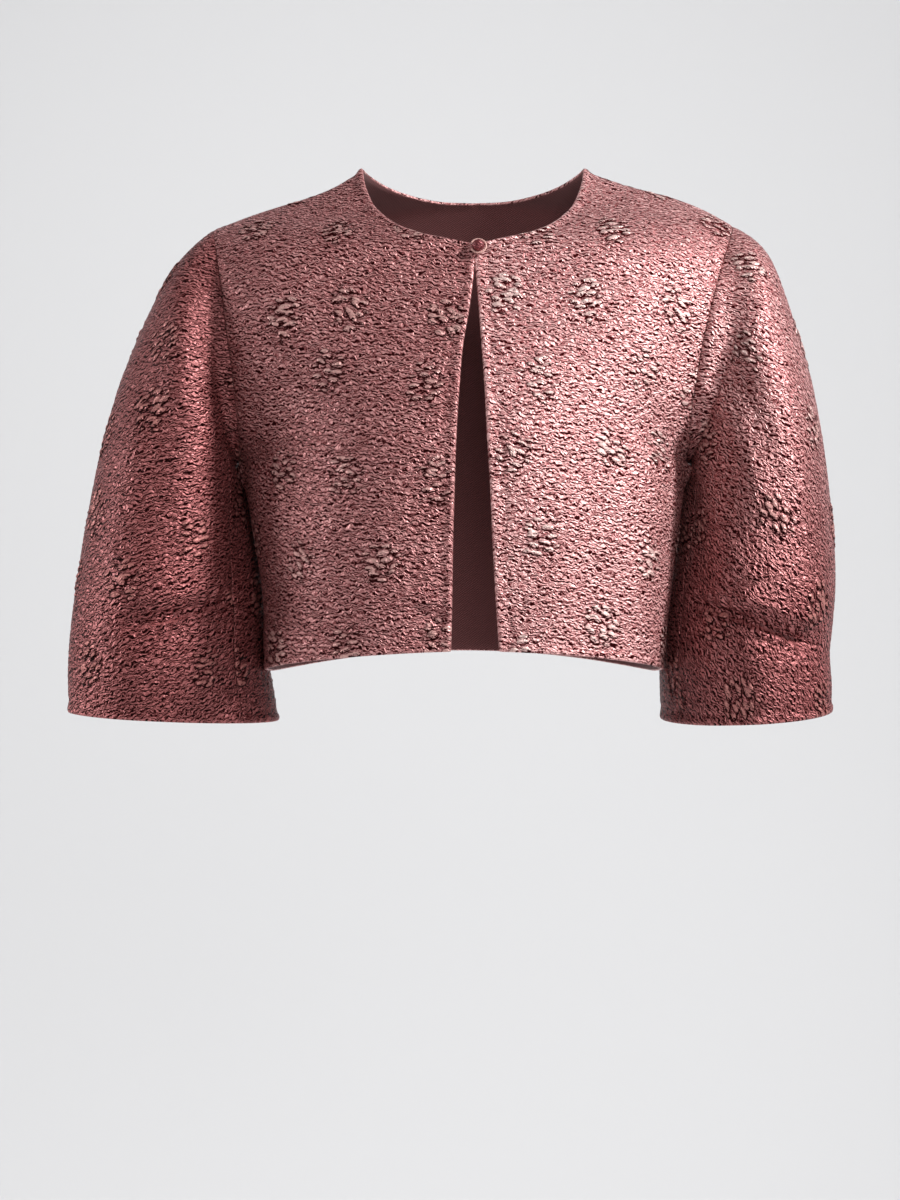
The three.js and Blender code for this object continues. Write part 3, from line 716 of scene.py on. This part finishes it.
def outer_surface(name, kind, grid, normals, cut, ids):
    """One grid of a piece, sampled finely: smooth places, outward directions, relief and cut."""
    rows, columns = FINE[kind]
    row_at = np.arange(grid["rows"] * rows + 1) / rows
    column_at = np.arange(grid["columns"] * columns + 1) / columns
    place = grid["point"](row_at, column_at)
    normal = between(normals[ids], rows, columns)
    normal /= np.linalg.norm(normal, axis=-1, keepdims=True)
    place = creased(kind, place, normal)
    flat = between(cut[ids], rows, columns)
    seam, edge = border_distances(grid, place, rows)
    relief, blister, grain = crinkle(name, flat)
    relief = relief + dart_relief(name, place)
    # Slope of the relief towards the top of the cloth, which the material turns into painted light on upper
    # sides and painted shade on lower ones.
    step = np.linalg.norm(np.gradient(place, axis=0), axis=-1)
    upward = 1 if grid["free_row"] == 0 else -1
    slope = upward * np.gradient(relief, axis=0) / np.maximum(step, 0.1)
    # Painted light along the free edges, as if their turned fold caught the light.
    slope = slope - 0.5 * np.exp(-(edge / 1.6) ** 2)
    relief = relief * (0.25 + 0.75 * smooth(0, 4, np.minimum(seam, edge)))
    roll = -0.3 * np.exp(-(seam / 1.3) ** 2)
    press = 0.8 * np.exp(-((edge - 1.5) / 2.5) ** 2) - 0.4 * np.exp(-((edge - 8) / 3) ** 2)
    return place, normal, relief + roll + press, blister, slope, grain


def free_points(grid, ids, rows):
    """Numbers of the points on the hem, cuff, neckline or centre edge."""
    parts = [ids[0] if grid["free_row"] == 0 else ids[-1]]
    if grid["free_column"]:
        parts.append(ids[grid["joined"] * rows:, 0])
    return np.concatenate(parts)


def open_edges(quads):
    """Edges that only one cell has, in the cell's own direction."""
    edges = np.stack([quads, np.roll(quads, -1, axis=1)], -1).reshape(-1, 2)
    count = int(edges.max()) + 1
    keys = edges[:, 0] * count + edges[:, 1]
    return edges[~np.isin(keys, edges[:, 1] * count + edges[:, 0])]


def outward_at(edges, place, normal):
    """Direction out of the cloth at the ends of open edges, square to them."""
    total = np.zeros_like(place)
    along = place[edges[:, 1]] - place[edges[:, 0]]
    for end in (0, 1):
        np.add.at(total, edges[:, end], np.cross(along, normal[edges[:, end]]))
    size = np.linalg.norm(total, axis=1, keepdims=True)
    return np.where(size > 1e-9, total / np.maximum(size, 1e-9), 0)


def inner_cells(ids, rows, columns, turned):
    """Cells of the plain inside, coarser than the outside, with all the points of its borders."""
    step_r, step_c = rows // INNER, columns // INNER
    last_r, last_c = ids.shape[0] - 1, ids.shape[1] - 1
    faces = []
    for r in range(0, last_r, step_r):
        for c in range(0, last_c, step_c):
            top, end = r + step_r, c + step_c
            low = ids[r, c:end] if r == 0 else ids[r, [c]]
            right = ids[r:top, end] if end == last_c else ids[[r], end]
            high = ids[top, end:c:-1] if top == last_r else ids[top, [end]]
            left = ids[top:r:-1, c] if c == 0 else ids[[top], c]
            face = np.concatenate([low, right, high, left]).tolist()
            faces.append(face if turned else face[::-1])
    return faces


def flat_size(points, faces, cut):
    """Width and length of the cut, and the area of the piece."""
    a, b, c = (points[faces[:, k]] for k in range(3))
    used = cut[np.unique(faces)]
    return np.ptp(used.real), np.ptp(used.imag), np.linalg.norm(np.cross(b - a, c - a), axis=1).sum() / 2


RIM_TURNS = np.radians([45, 90, 135])


def shell(name, kind, grids, coarse, normals):
    """Mesh of a piece: the crinkled outside, the plain inside a wall further in, and a rim round the open
    edges, half round on the free ones."""
    rows, columns = FINE[kind]
    points, faces, coarse_ids = coarse
    cut = upright(kind, flat_cut(points, faces, first_guess(kind, grids, points, coarse_ids)), coarse_ids)
    ids, count = numbered(grids, rows, columns)
    place, normal = np.zeros((count, 3)), np.zeros((count, 3))
    relief, blister, slope = np.zeros((3, count))
    grain = np.zeros(count, complex)
    quads, free = [], []
    for grid, own, rough in zip(grids, ids, coarse_ids):
        parts = outer_surface(name, kind, grid, normals, cut, rough)
        for whole, part in zip((place, normal, relief, blister, slope, grain), parts):
            whole[own.ravel()] = part.reshape((-1,) + whole.shape[1:])
        quads.append(cells(own, grid["turned"]))
        free.append(free_points(grid, own, rows))
    quads = np.concatenate(quads)
    is_free = np.isin(np.arange(count), np.concatenate(free))
    edges = open_edges(quads)
    at_free = is_free[edges].all(axis=1)
    place = place - SEAM_GAP / 2 * outward_at(edges[~at_free], place, normal)
    outside = place + relief[:, None] * normal
    inside = place - WALL * normal
    out = outward_at(edges[at_free], place, normal)
    rims = [mix(inside, outside, (1 + np.cos(t)) / 2) + 0.9 * np.sin(t) * out for t in RIM_TURNS]
    layers = [outside] + rims + [inside]
    polygons = quads.tolist()
    for k in range(len(layers) - 1):
        a, b = edges[:, 0] + k * count, edges[:, 1] + k * count
        polygons += np.stack([b, a, a + count, b + count], -1).tolist()
    last = (len(layers) - 1) * count
    outer = len(polygons)
    for grid, own in zip(grids, ids):
        polygons += inner_cells(own + last, rows, columns, grid["turned"])
    tiled = {key: np.tile(value, len(layers)) for key, value in
             (("blister", blister), ("slope", slope), ("grain", grain))}
    tiled["grain"] += np.repeat(0.8j * np.arange(len(layers)), count)
    high, low = PAINTED_LIGHT_BY_PIECE[name]
    # Painted light and shade at each point, from the piece's value at the hem to that at the shoulder.
    tiled["painted_light"] = np.tile(mix(low, high, smooth(-340, -60, place[:, 2])), len(layers))
    return np.concatenate(layers), polygons, outer, tiled, flat_size(points, faces, cut)


def mesh_object(name, points, polygons, values=()):
    """A smooth-shaded object of the points used by the polygons, in metres, with its values at each point."""
    sizes = np.fromiter((len(p) for p in polygons), int, len(polygons))
    corners = np.concatenate([np.asarray(p) for p in polygons])
    used, corners = np.unique(corners, return_inverse=True)
    mesh = bpy.data.meshes.new(name)
    mesh.vertices.add(len(used))
    mesh.vertices.foreach_set("co", (points[used] * MM).astype(np.float32).ravel())
    mesh.loops.add(len(corners))
    mesh.loops.foreach_set("vertex_index", corners.ravel().astype(np.int32))
    mesh.polygons.add(len(sizes))
    mesh.polygons.foreach_set("loop_start", (np.cumsum(sizes) - sizes).astype(np.int32))
    mesh.update(calc_edges=True)
    mesh.polygons.foreach_set("use_smooth", np.ones(len(sizes), bool))
    for key, value in dict(values).items():
        value = value[used]
        if np.iscomplexobj(value):
            layer = mesh.attributes.new(key, "FLOAT_VECTOR", "POINT")
            vectors = np.stack([value.real, value.imag, np.zeros(len(value))], -1)
            layer.data.foreach_set("vector", vectors.astype(np.float32).ravel())
        else:
            layer = mesh.attributes.new(key, "FLOAT", "POINT")
            layer.data.foreach_set("value", value.astype(np.float32))
    mesh.validate()
    made = bpy.data.objects.new(name, mesh)
    bpy.context.collection.objects.link(made)
    return made


# Materials.
def linear(hex_colour):
    """A colour given as sRGB hex, turned linear."""
    parts = [int(hex_colour[i:i + 2], 16) / 255 for i in (1, 3, 5)]
    return tuple(p / 12.92 if p <= 0.04045 else ((p + 0.055) / 1.055) ** 2.4 for p in parts) + (1,)


MATH, RANGE, MIX = "ShaderNodeMath", "ShaderNodeMapRange", "ShaderNodeMix"
NOISE, MAPPING, VECTORS = "ShaderNodeTexNoise", "ShaderNodeMapping", "ShaderNodeVectorMath"
ATTRIBUTE, BUMP = "ShaderNodeAttribute", "ShaderNodeBump"
SHADER, SURFACE = "ShaderNodeBsdfPrincipled", "ShaderNodeOutputMaterial"
SOFT = {"interpolation_type": "SMOOTHSTEP"}
COLOUR = {"data_type": "RGBA"}
FLAT = {"noise_dimensions": "2D"}


def node(tree, kind, inputs=(), output=0, **settings):
    """One output of a new node with its settings. Its inputs, by name or in order, are values or others'
    outputs."""
    made = tree.nodes.new(kind)
    for key, value in settings.items():
        setattr(made, key, value)
    for key, value in inputs.items() if isinstance(inputs, dict) else enumerate(inputs):
        if isinstance(value, bpy.types.NodeSocket):
            tree.links.new(value, made.inputs[key])
        else:
            made.inputs[key].default_value = value
    return made.outputs[output] if made.outputs else None


def new_material(name):
    """A new material and its tree, empty."""
    made = bpy.data.materials.new(name)
    made.use_nodes = True
    made.node_tree.nodes.clear()
    return made, made.node_tree


# Ripples of the thread: length and width in millimetres, and how far off the layout of each size is moved.
RIPPLES = (4.4, 1.7, 0.0)
FINE_RIPPLES = (1.6, 0.9, 37.0)
# Each part of the cloth in its deepest and its palest shade, mixed by the painted light and shade of each
# piece. Tops and puff tops are painted highlights on ripple and blister tops; creases are the burgundy ground
# with painted shade on it.
SHADES = {
    "threads": ("#662223", "#b66768"),
    "tops": ("#b86867", "#fec9c6"),
    "creases": ("#150001", "#380305"),
    "puff_tops": ("#c87c75", "#ffe3db"),
}


def ripples(tree, place, length, width, offset):
    """Small ripples of stretched noise: their height, and how steeply they rise towards the top of the
    cloth, as the difference of the heights a quarter of a width above and below."""
    heights = []
    for across in (0.0, 0.24, -0.24):
        spot = node(tree, MAPPING, {"Vector": place, "Location": (offset, offset / 2 + across, 0),
                                    "Scale": (1 / length, 1 / width, 1)})
        fine = {"Vector": spot, "Scale": 1.0, "Detail": 1.0, "Roughness": 0.45}
        heights.append(node(tree, NOISE, fine, **FLAT))
    return heights[0], node(tree, MATH, heights[1:], operation="SUBTRACT")


def pulled_grain(tree, grain):
    """Place on the cut, pulled about by up to 3 mm, as crinkled thread is."""
    drift = node(tree, NOISE, {"Vector": grain, "Scale": 0.18, "Detail": 2.0, "Roughness": 0.6}, "Color")
    drift = node(tree, VECTORS, (drift, (0.5, 0.5, 0.5)), operation="SUBTRACT")
    drift = node(tree, VECTORS, {0: drift, "Scale": 7.0}, operation="SCALE")
    return node(tree, VECTORS, (grain, drift), operation="ADD")


def blister_shade_line(tree, blister, slope):
    """Thin dark line round each blister: the burgundy ground at its foot, with painted shade making it
    strongest on its lower side.
    """
    border = node(tree, MATH, (blister, 0.02), operation="ADD")
    border = node(tree, MATH, (border, 0.0), operation="ABSOLUTE")
    border = node(tree, RANGE, (border, 0.06, 0.16, 1.0, 0.0), **SOFT)
    lower = node(tree, RANGE, (slope, -0.3, 0.15, 0.35, 1.0), **SOFT)
    return node(tree, MATH, (border, lower), operation="MULTIPLY")


def total_rise(tree, rise, fine_rise, puffed, slope):
    """Rise of the ripples, weaker on a blister, with that of the relief in the mesh."""
    fine_rise = node(tree, MATH, (fine_rise, 0.8), operation="MULTIPLY")
    rise = node(tree, MATH, (rise, fine_rise), operation="ADD")
    calm = node(tree, MATH, (puffed, 0.6), operation="MULTIPLY")
    calm = node(tree, MATH, (1.0, calm), operation="SUBTRACT")
    rise = node(tree, MATH, (rise, calm), operation="MULTIPLY")
    slope = node(tree, MATH, (slope, 0.24), operation="MULTIPLY")
    return node(tree, MATH, (rise, slope), operation="ADD")


def lame_colour(tree, shade, dark, lit, puffed, slope):
    """Threads; tops with painted light on the ripples' upper sides, palest on a blister's upper side; and the
    burgundy ground in the creases, deepened by painted shade.
    """
    part = {name: node(tree, MIX, {0: shade, 6: linear(deep), 7: linear(pale)}, 2, **COLOUR)
            for name, (deep, pale) in SHADES.items()}
    # Painted light on the upper side of each blister, by the slope of the relief.
    upper = node(tree, RANGE, (slope, -0.1, 0.4, 1.0, 0.3), **SOFT)
    upper = node(tree, MATH, (puffed, upper), operation="MULTIPLY")
    tops = node(tree, MIX, {0: upper, 6: part["tops"], 7: part["puff_tops"]}, 2, **COLOUR)
    # Blisters take the lit tops' colour: painted light on the raised cloth.
    share = node(tree, MATH, (puffed, 0.8), operation="MULTIPLY")
    share = node(tree, MATH, (lit, share), operation="MAXIMUM")
    colour = node(tree, MIX, {0: share, 6: part["threads"], 7: tops}, 2, **COLOUR)
    return node(tree, MIX, {0: dark, 6: colour, 7: part["creases"]}, 2, **COLOUR)


def crinkled_lame():
    """Metallic rose cloqué: each ripple of shining pink thread gets painted cream light on its upper side and
    shows the burgundy ground, deepened by painted shade, in the crease under it, and the blisters get painted
    light on top. Each piece's colours are also painted deeper or paler, and change from hem to shoulder,
    standing in for the light that piece gets."""
    made, tree = new_material("crinkled_rose_lame")
    grain = node(tree, ATTRIBUTE, (), "Vector", attribute_name="grain")
    blister, slope, painted_light = (node(tree, ATTRIBUTE, (), "Fac", attribute_name=name)
                           for name in ("blister", "slope", "painted_light"))
    pulled = pulled_grain(tree, grain)
    height, rise = ripples(tree, pulled, *RIPPLES)
    fine_height, fine_rise = ripples(tree, pulled, *FINE_RIPPLES)
    puffed = node(tree, RANGE, (blister, 0.04, 0.22), **SOFT)
    rise = total_rise(tree, rise, fine_rise, puffed, slope)
    # Painted shade under each ripple and painted light on its upper side, by how steeply the ripple rises
    # towards the top of the cloth, as if lit from above; the shaded band also shows the burgundy ground in
    # the crease.
    dark = node(tree, RANGE, (rise, 0.055, 0.1), **SOFT)
    dark = node(tree, MATH, (dark, blister_shade_line(tree, blister, slope)), operation="MAXIMUM")
    lit = node(tree, RANGE, (rise, -0.2, 0.03, 1.0, 0.0), **SOFT)
    patches = node(tree, NOISE, {"Vector": grain, "Scale": 0.035, "Detail": 2.0}, **FLAT)
    patches = node(tree, RANGE, (patches, 0.35, 0.65, 1.0, 0.78), **SOFT)
    # Painted light and shade of the piece, with random paler and deeper patches of the cloth.
    shade = node(tree, MATH, (painted_light, patches), operation="MULTIPLY")
    fine_height = node(tree, MATH, (fine_height, 0.3), operation="MULTIPLY")
    height = node(tree, MATH, (height, fine_height), operation="ADD")
    bump = node(tree, BUMP, {"Height": height, "Strength": 1.0, "Distance": 0.0014})
    shine = node(tree, RANGE, (dark, 0.0, 0.8, 0.5, 0.05), **SOFT)
    colour = lame_colour(tree, shade, dark, lit, puffed, slope)
    shader = node(tree, SHADER, {"Base Color": colour, "Normal": bump, "Specular IOR Level": shine,
                                 "Metallic": 0.4, "Roughness": 0.42})
    node(tree, SURFACE, {"Surface": shader})
    return made


def reverse_cloth():
    """Plain back of the cloth: the burgundy ground with a fine twill line, matt beside the face."""
    made, tree = new_material("burgundy_twill_reverse")
    grain = node(tree, ATTRIBUTE, (), "Vector", attribute_name="grain")
    turned = node(tree, MAPPING, {"Vector": grain, "Rotation": (0, 0, 0.8)})
    twill = {"Vector": turned, "Scale": 0.22, "Distortion": 0.6, "Detail": 1.0}
    twill = node(tree, "ShaderNodeTexWave", twill, "Fac", bands_direction="Y")
    colour = node(tree, MIX, {0: twill, 6: linear("#5a2a2b"), 7: linear("#8a4f4e")}, 2, **COLOUR)
    bump = node(tree, BUMP, {"Height": twill, "Strength": 0.5, "Distance": 0.0003})
    shader = node(tree, SHADER, {"Base Color": colour, "Normal": bump, "Roughness": 0.7, "Sheen Weight": 0.2})
    node(tree, SURFACE, {"Surface": shader})
    return made


# Button and loop.
def closed_tube(name, rings, first, last):
    """Mesh of rings of points, one row each, closed by a fan at its first and its last middle point."""
    steps, sides = rings.shape[:2]
    points = np.concatenate([rings.reshape(-1, 3), [first], [last]])
    ids = np.arange(steps * sides).reshape(steps, sides)
    ids = np.concatenate([ids, ids[:, :1]], axis=1)
    polygons = cells(ids, False).tolist()
    start, end = len(points) - 2, len(points) - 1
    polygons += [[start, ids[0, i + 1], ids[0, i]] for i in range(sides)]
    polygons += [[end, ids[-1, i], ids[-1, i + 1]] for i in range(sides)]
    return mesh_object(name, points, polygons)


def button_centre():
    """Middle of the button and the direction it faces, in front of the left front's top corner."""
    y = float(read(FRONT_EDGE, "z", "y", BUTTON["z"]))
    slope = float(read(FRONT_EDGE, "z", "y", BUTTON["z"] + 1)) - y
    out = np.array([0, -1, slope])
    out /= np.linalg.norm(out)
    return np.array([BUTTON["x"], y, BUTTON["z"]]) + out * (BUTTON["radius"] + BUTTON["clear"]), out


def ball_frame():
    """Directions across, up and out of the button."""
    _, out = button_centre()
    across = np.array([1.0, 0, 0])
    up = -np.cross(out, across)
    return across, up / np.linalg.norm(up), out


def covered_button():
    """Ball of cloth: round in front, its cloth drawn into small gathers towards the back."""
    centre, out = button_centre()
    across, up, out = ball_frame()
    bands, spokes = 48, 96
    lean = np.linspace(0, np.pi, bands + 1)[1:-1, None]
    turn = (2 * np.pi * np.arange(spokes) / spokes)[None, :]
    gathers = 0.16 * np.cos(13 * turn + 0.6 * np.sin(3 * turn)) * smooth(1.5, 2.9, lean)
    reach = BUTTON["radius"] * lean
    puffs = 0.22 * domes(pillows(reach * np.cos(turn), reach * np.sin(turn), 2.6, 1.7, 5))
    radius = BUTTON["radius"] + gathers + puffs - 0.1
    ring = across * np.cos(turn)[..., None] + up * np.sin(turn)[..., None]
    spots = radius[..., None] * (np.sin(lean)[..., None] * ring + np.cos(lean)[..., None] * out)
    pole = out * BUTTON["radius"]
    return closed_tube("covered_button", spots + centre, centre + pole, centre - pole)


def cord_loop():
    """Cord of two plies twisted together, round the ball from the right front's edge and back."""
    centre, _ = button_centre()
    across, up, out = ball_frame()
    steps, sides = 150, 16
    turn = np.radians(np.linspace(-152, 152, steps + 1))[:, None]
    outward = np.cos(turn) * across + np.sin(turn) * up
    middle = centre + (LOOP["inner"] + LOOP["cord"]) * outward - 1.2 * out
    angle = (2 * np.pi * np.arange(sides) / sides)[None, :]
    twist = 9 * turn
    thick = LOOP["cord"] * (0.86 + 0.14 * np.abs(np.cos(angle + twist)))
    spots = middle[:, None] + (thick * np.cos(angle))[..., None] * outward[:, None]
    spots = spots + (thick * np.sin(angle))[..., None] * out
    return closed_tube("twisted_cord_loop", spots, middle[0], middle[-1])


# Deep rose lamé drawn smooth over a ball, darker than the crinkled cloth, with one soft light on it.
BALL = {"scale": 1100.0, "low": 0.35, "deep": "#4e1418", "pale": "#9c5054", "strength": 0.5, "depth": 0.0004}
BALL_FINISH = {"Metallic": 0.4, "Roughness": 0.35}
# Silky rose cord, lighter than the cloth, softly shining.
CORD = {"scale": 4000.0, "low": 0.3, "deep": "#b57a74", "pale": "#eec0b4", "strength": 0.4, "depth": 0.0001}
CORD_FINISH = {"Roughness": 0.45, "Sheen Weight": 0.3}


def fine_threads(name, look, finish):
    """Threads too fine to tell apart: soft noise between two shades, with a shallow bump."""
    made, tree = new_material(name)
    place = node(tree, "ShaderNodeTexCoord", (), "Object")
    threads = node(tree, NOISE, {"Vector": place, "Scale": look["scale"], "Detail": 2.0})
    share = node(tree, RANGE, (threads, look["low"], 0.7), **SOFT)
    colour = node(tree, MIX, {0: share, 6: linear(look["deep"]), 7: linear(look["pale"])}, 2, **COLOUR)
    bump = node(tree, BUMP, {"Height": threads, "Strength": look["strength"], "Distance": look["depth"]})
    shader = node(tree, SHADER, {"Base Color": colour, "Normal": bump, **finish})
    node(tree, SURFACE, {"Surface": shader})
    return made


# Camera, light and floor.
def camera():
    """Level camera in front, at the photograph's distance and height."""
    data = bpy.data.cameras.new("camera")
    data.sensor_fit = "VERTICAL"
    data.sensor_height = 36
    data.lens = 104
    data.clip_end = 50.0
    made = bpy.data.objects.new("camera", data)
    made.location = (-0.01725, -2.6, -0.30375)
    made.rotation_euler = (np.pi / 2, 0, 0)
    bpy.context.collection.objects.link(made)
    bpy.context.scene.camera = made


def light(name, spot, aim, size, power):
    data = bpy.data.lights.new(name, "AREA")
    data.shape = "DISK"
    data.size = size
    data.energy = power
    made = bpy.data.objects.new(name, data)
    made.location = spot
    made.rotation_euler = (Vector(aim) - Vector(spot)).to_track_quat("-Z", "Y").to_euler()
    bpy.context.collection.objects.link(made)


def studio():
    """Pale floor that curves up behind, soft key light from the right, and a dim even surround."""
    wide, deep, bend, floor = 16.0, 3.0, 1.5, -1.4
    turn = np.linspace(0, np.pi / 2, 17)
    y = np.concatenate([[-5], deep - bend + bend * np.sin(turn), [deep]])
    z = np.concatenate([[floor], floor + bend * (1 - np.cos(turn)), [4.5]])
    across = np.array([-wide, wide])
    points = np.stack([np.repeat(across[None], len(y), 0), np.repeat(y[:, None], 2, 1),
                       np.repeat(z[:, None], 2, 1)], -1).reshape(-1, 3) / MM
    ids = np.arange(len(points)).reshape(-1, 2)
    sweep = mesh_object("studio_sweep", points, cells(ids, False).tolist())
    made, tree = new_material("matt_pale_paper")
    shader = node(tree, SHADER, {"Base Color": linear("#c6c6c7"), "Roughness": 0.95})
    node(tree, SURFACE, {"Surface": shader})
    sweep.data.materials.append(made)
    world = bpy.data.worlds.new("surround")
    world.use_nodes = True
    world.node_tree.nodes["Background"].inputs[0].default_value = linear("#f2f2f4")
    world.node_tree.nodes["Background"].inputs[1].default_value = 0.25
    bpy.context.scene.world = world
    bpy.context.scene.view_settings.view_transform = "Standard"
    light("key", (2.7, -1.15, 1.9), (0, 0, -0.2), 0.6, 155)
    light("front_fill", (0.5, -3.4, 0.6), (0, 0, -0.25), 1.2, 30)
    light("left_rim", (-2.8, 0.1, 0.1), (0, 0, -0.25), 1.0, 42)
    light("wall_wash", (-0.2, 1.0, 0.2), (-0.6, 3, -1.2), 2.5, 27)


def cloth_pieces():
    """Grids of each cut piece by its solid's name."""
    right, left = SIDES["right"], SIDES["left"]
    under, whole = UNDER_STEPS, 2 * ARM_ROWS
    return {
        "front_right": ("front", [body_grid(right, "front")]),
        "front_left": ("front", [body_grid(left, "front")]),
        "back": ("back", [body_grid(right, "back"), body_grid(left, "back")]),
        "sleeve_top_right": ("top", [sleeve_grid(right, under, whole - under)]),
        "sleeve_under_right": ("under", [sleeve_grid(right, -under, under)]),
        "sleeve_top_left": ("top", [sleeve_grid(left, under, whole - under)]),
        "sleeve_under_left": ("under", [sleeve_grid(left, -under, under)]),
    }


def make_cloth():
    """The seven cut pieces."""
    pieces = cloth_pieces()
    coarse = [coarse_of(grids) for _, grids in pieces.values()]
    cloth, reverse = crinkled_lame(), reverse_cloth()
    for (name, (kind, grids)), own, normals in zip(pieces.items(), coarse, shared_normals(coarse)):
        points, polygons, outer, values, (width, length, area) = shell(name, kind, grids, own, normals)
        piece = mesh_object("cloth_" + name, points, polygons, values)
        piece.data.materials.append(cloth)
        piece.data.materials.append(reverse)
        sides = (np.arange(len(piece.data.polygons)) >= outer).astype(np.int32)
        piece.data.polygons.foreach_set("material_index", sides)
        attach(piece, "root")
        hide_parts(name)


def make_fastening():
    """Button and loop."""
    ball = covered_button()
    ball.data.materials.append(fine_threads("smooth_deep_rose_lame", BALL, BALL_FINISH))
    cord = cord_loop()
    cord.data.materials.append(fine_threads("rose_silk_cord", CORD, CORD_FINISH))
    for piece, name, slot in ((ball, "button", "button"), (cord, "button_loop", "cord")):
        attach(piece, "root")
        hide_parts(name)


camera()
studio()
make_cloth()
make_fastening()
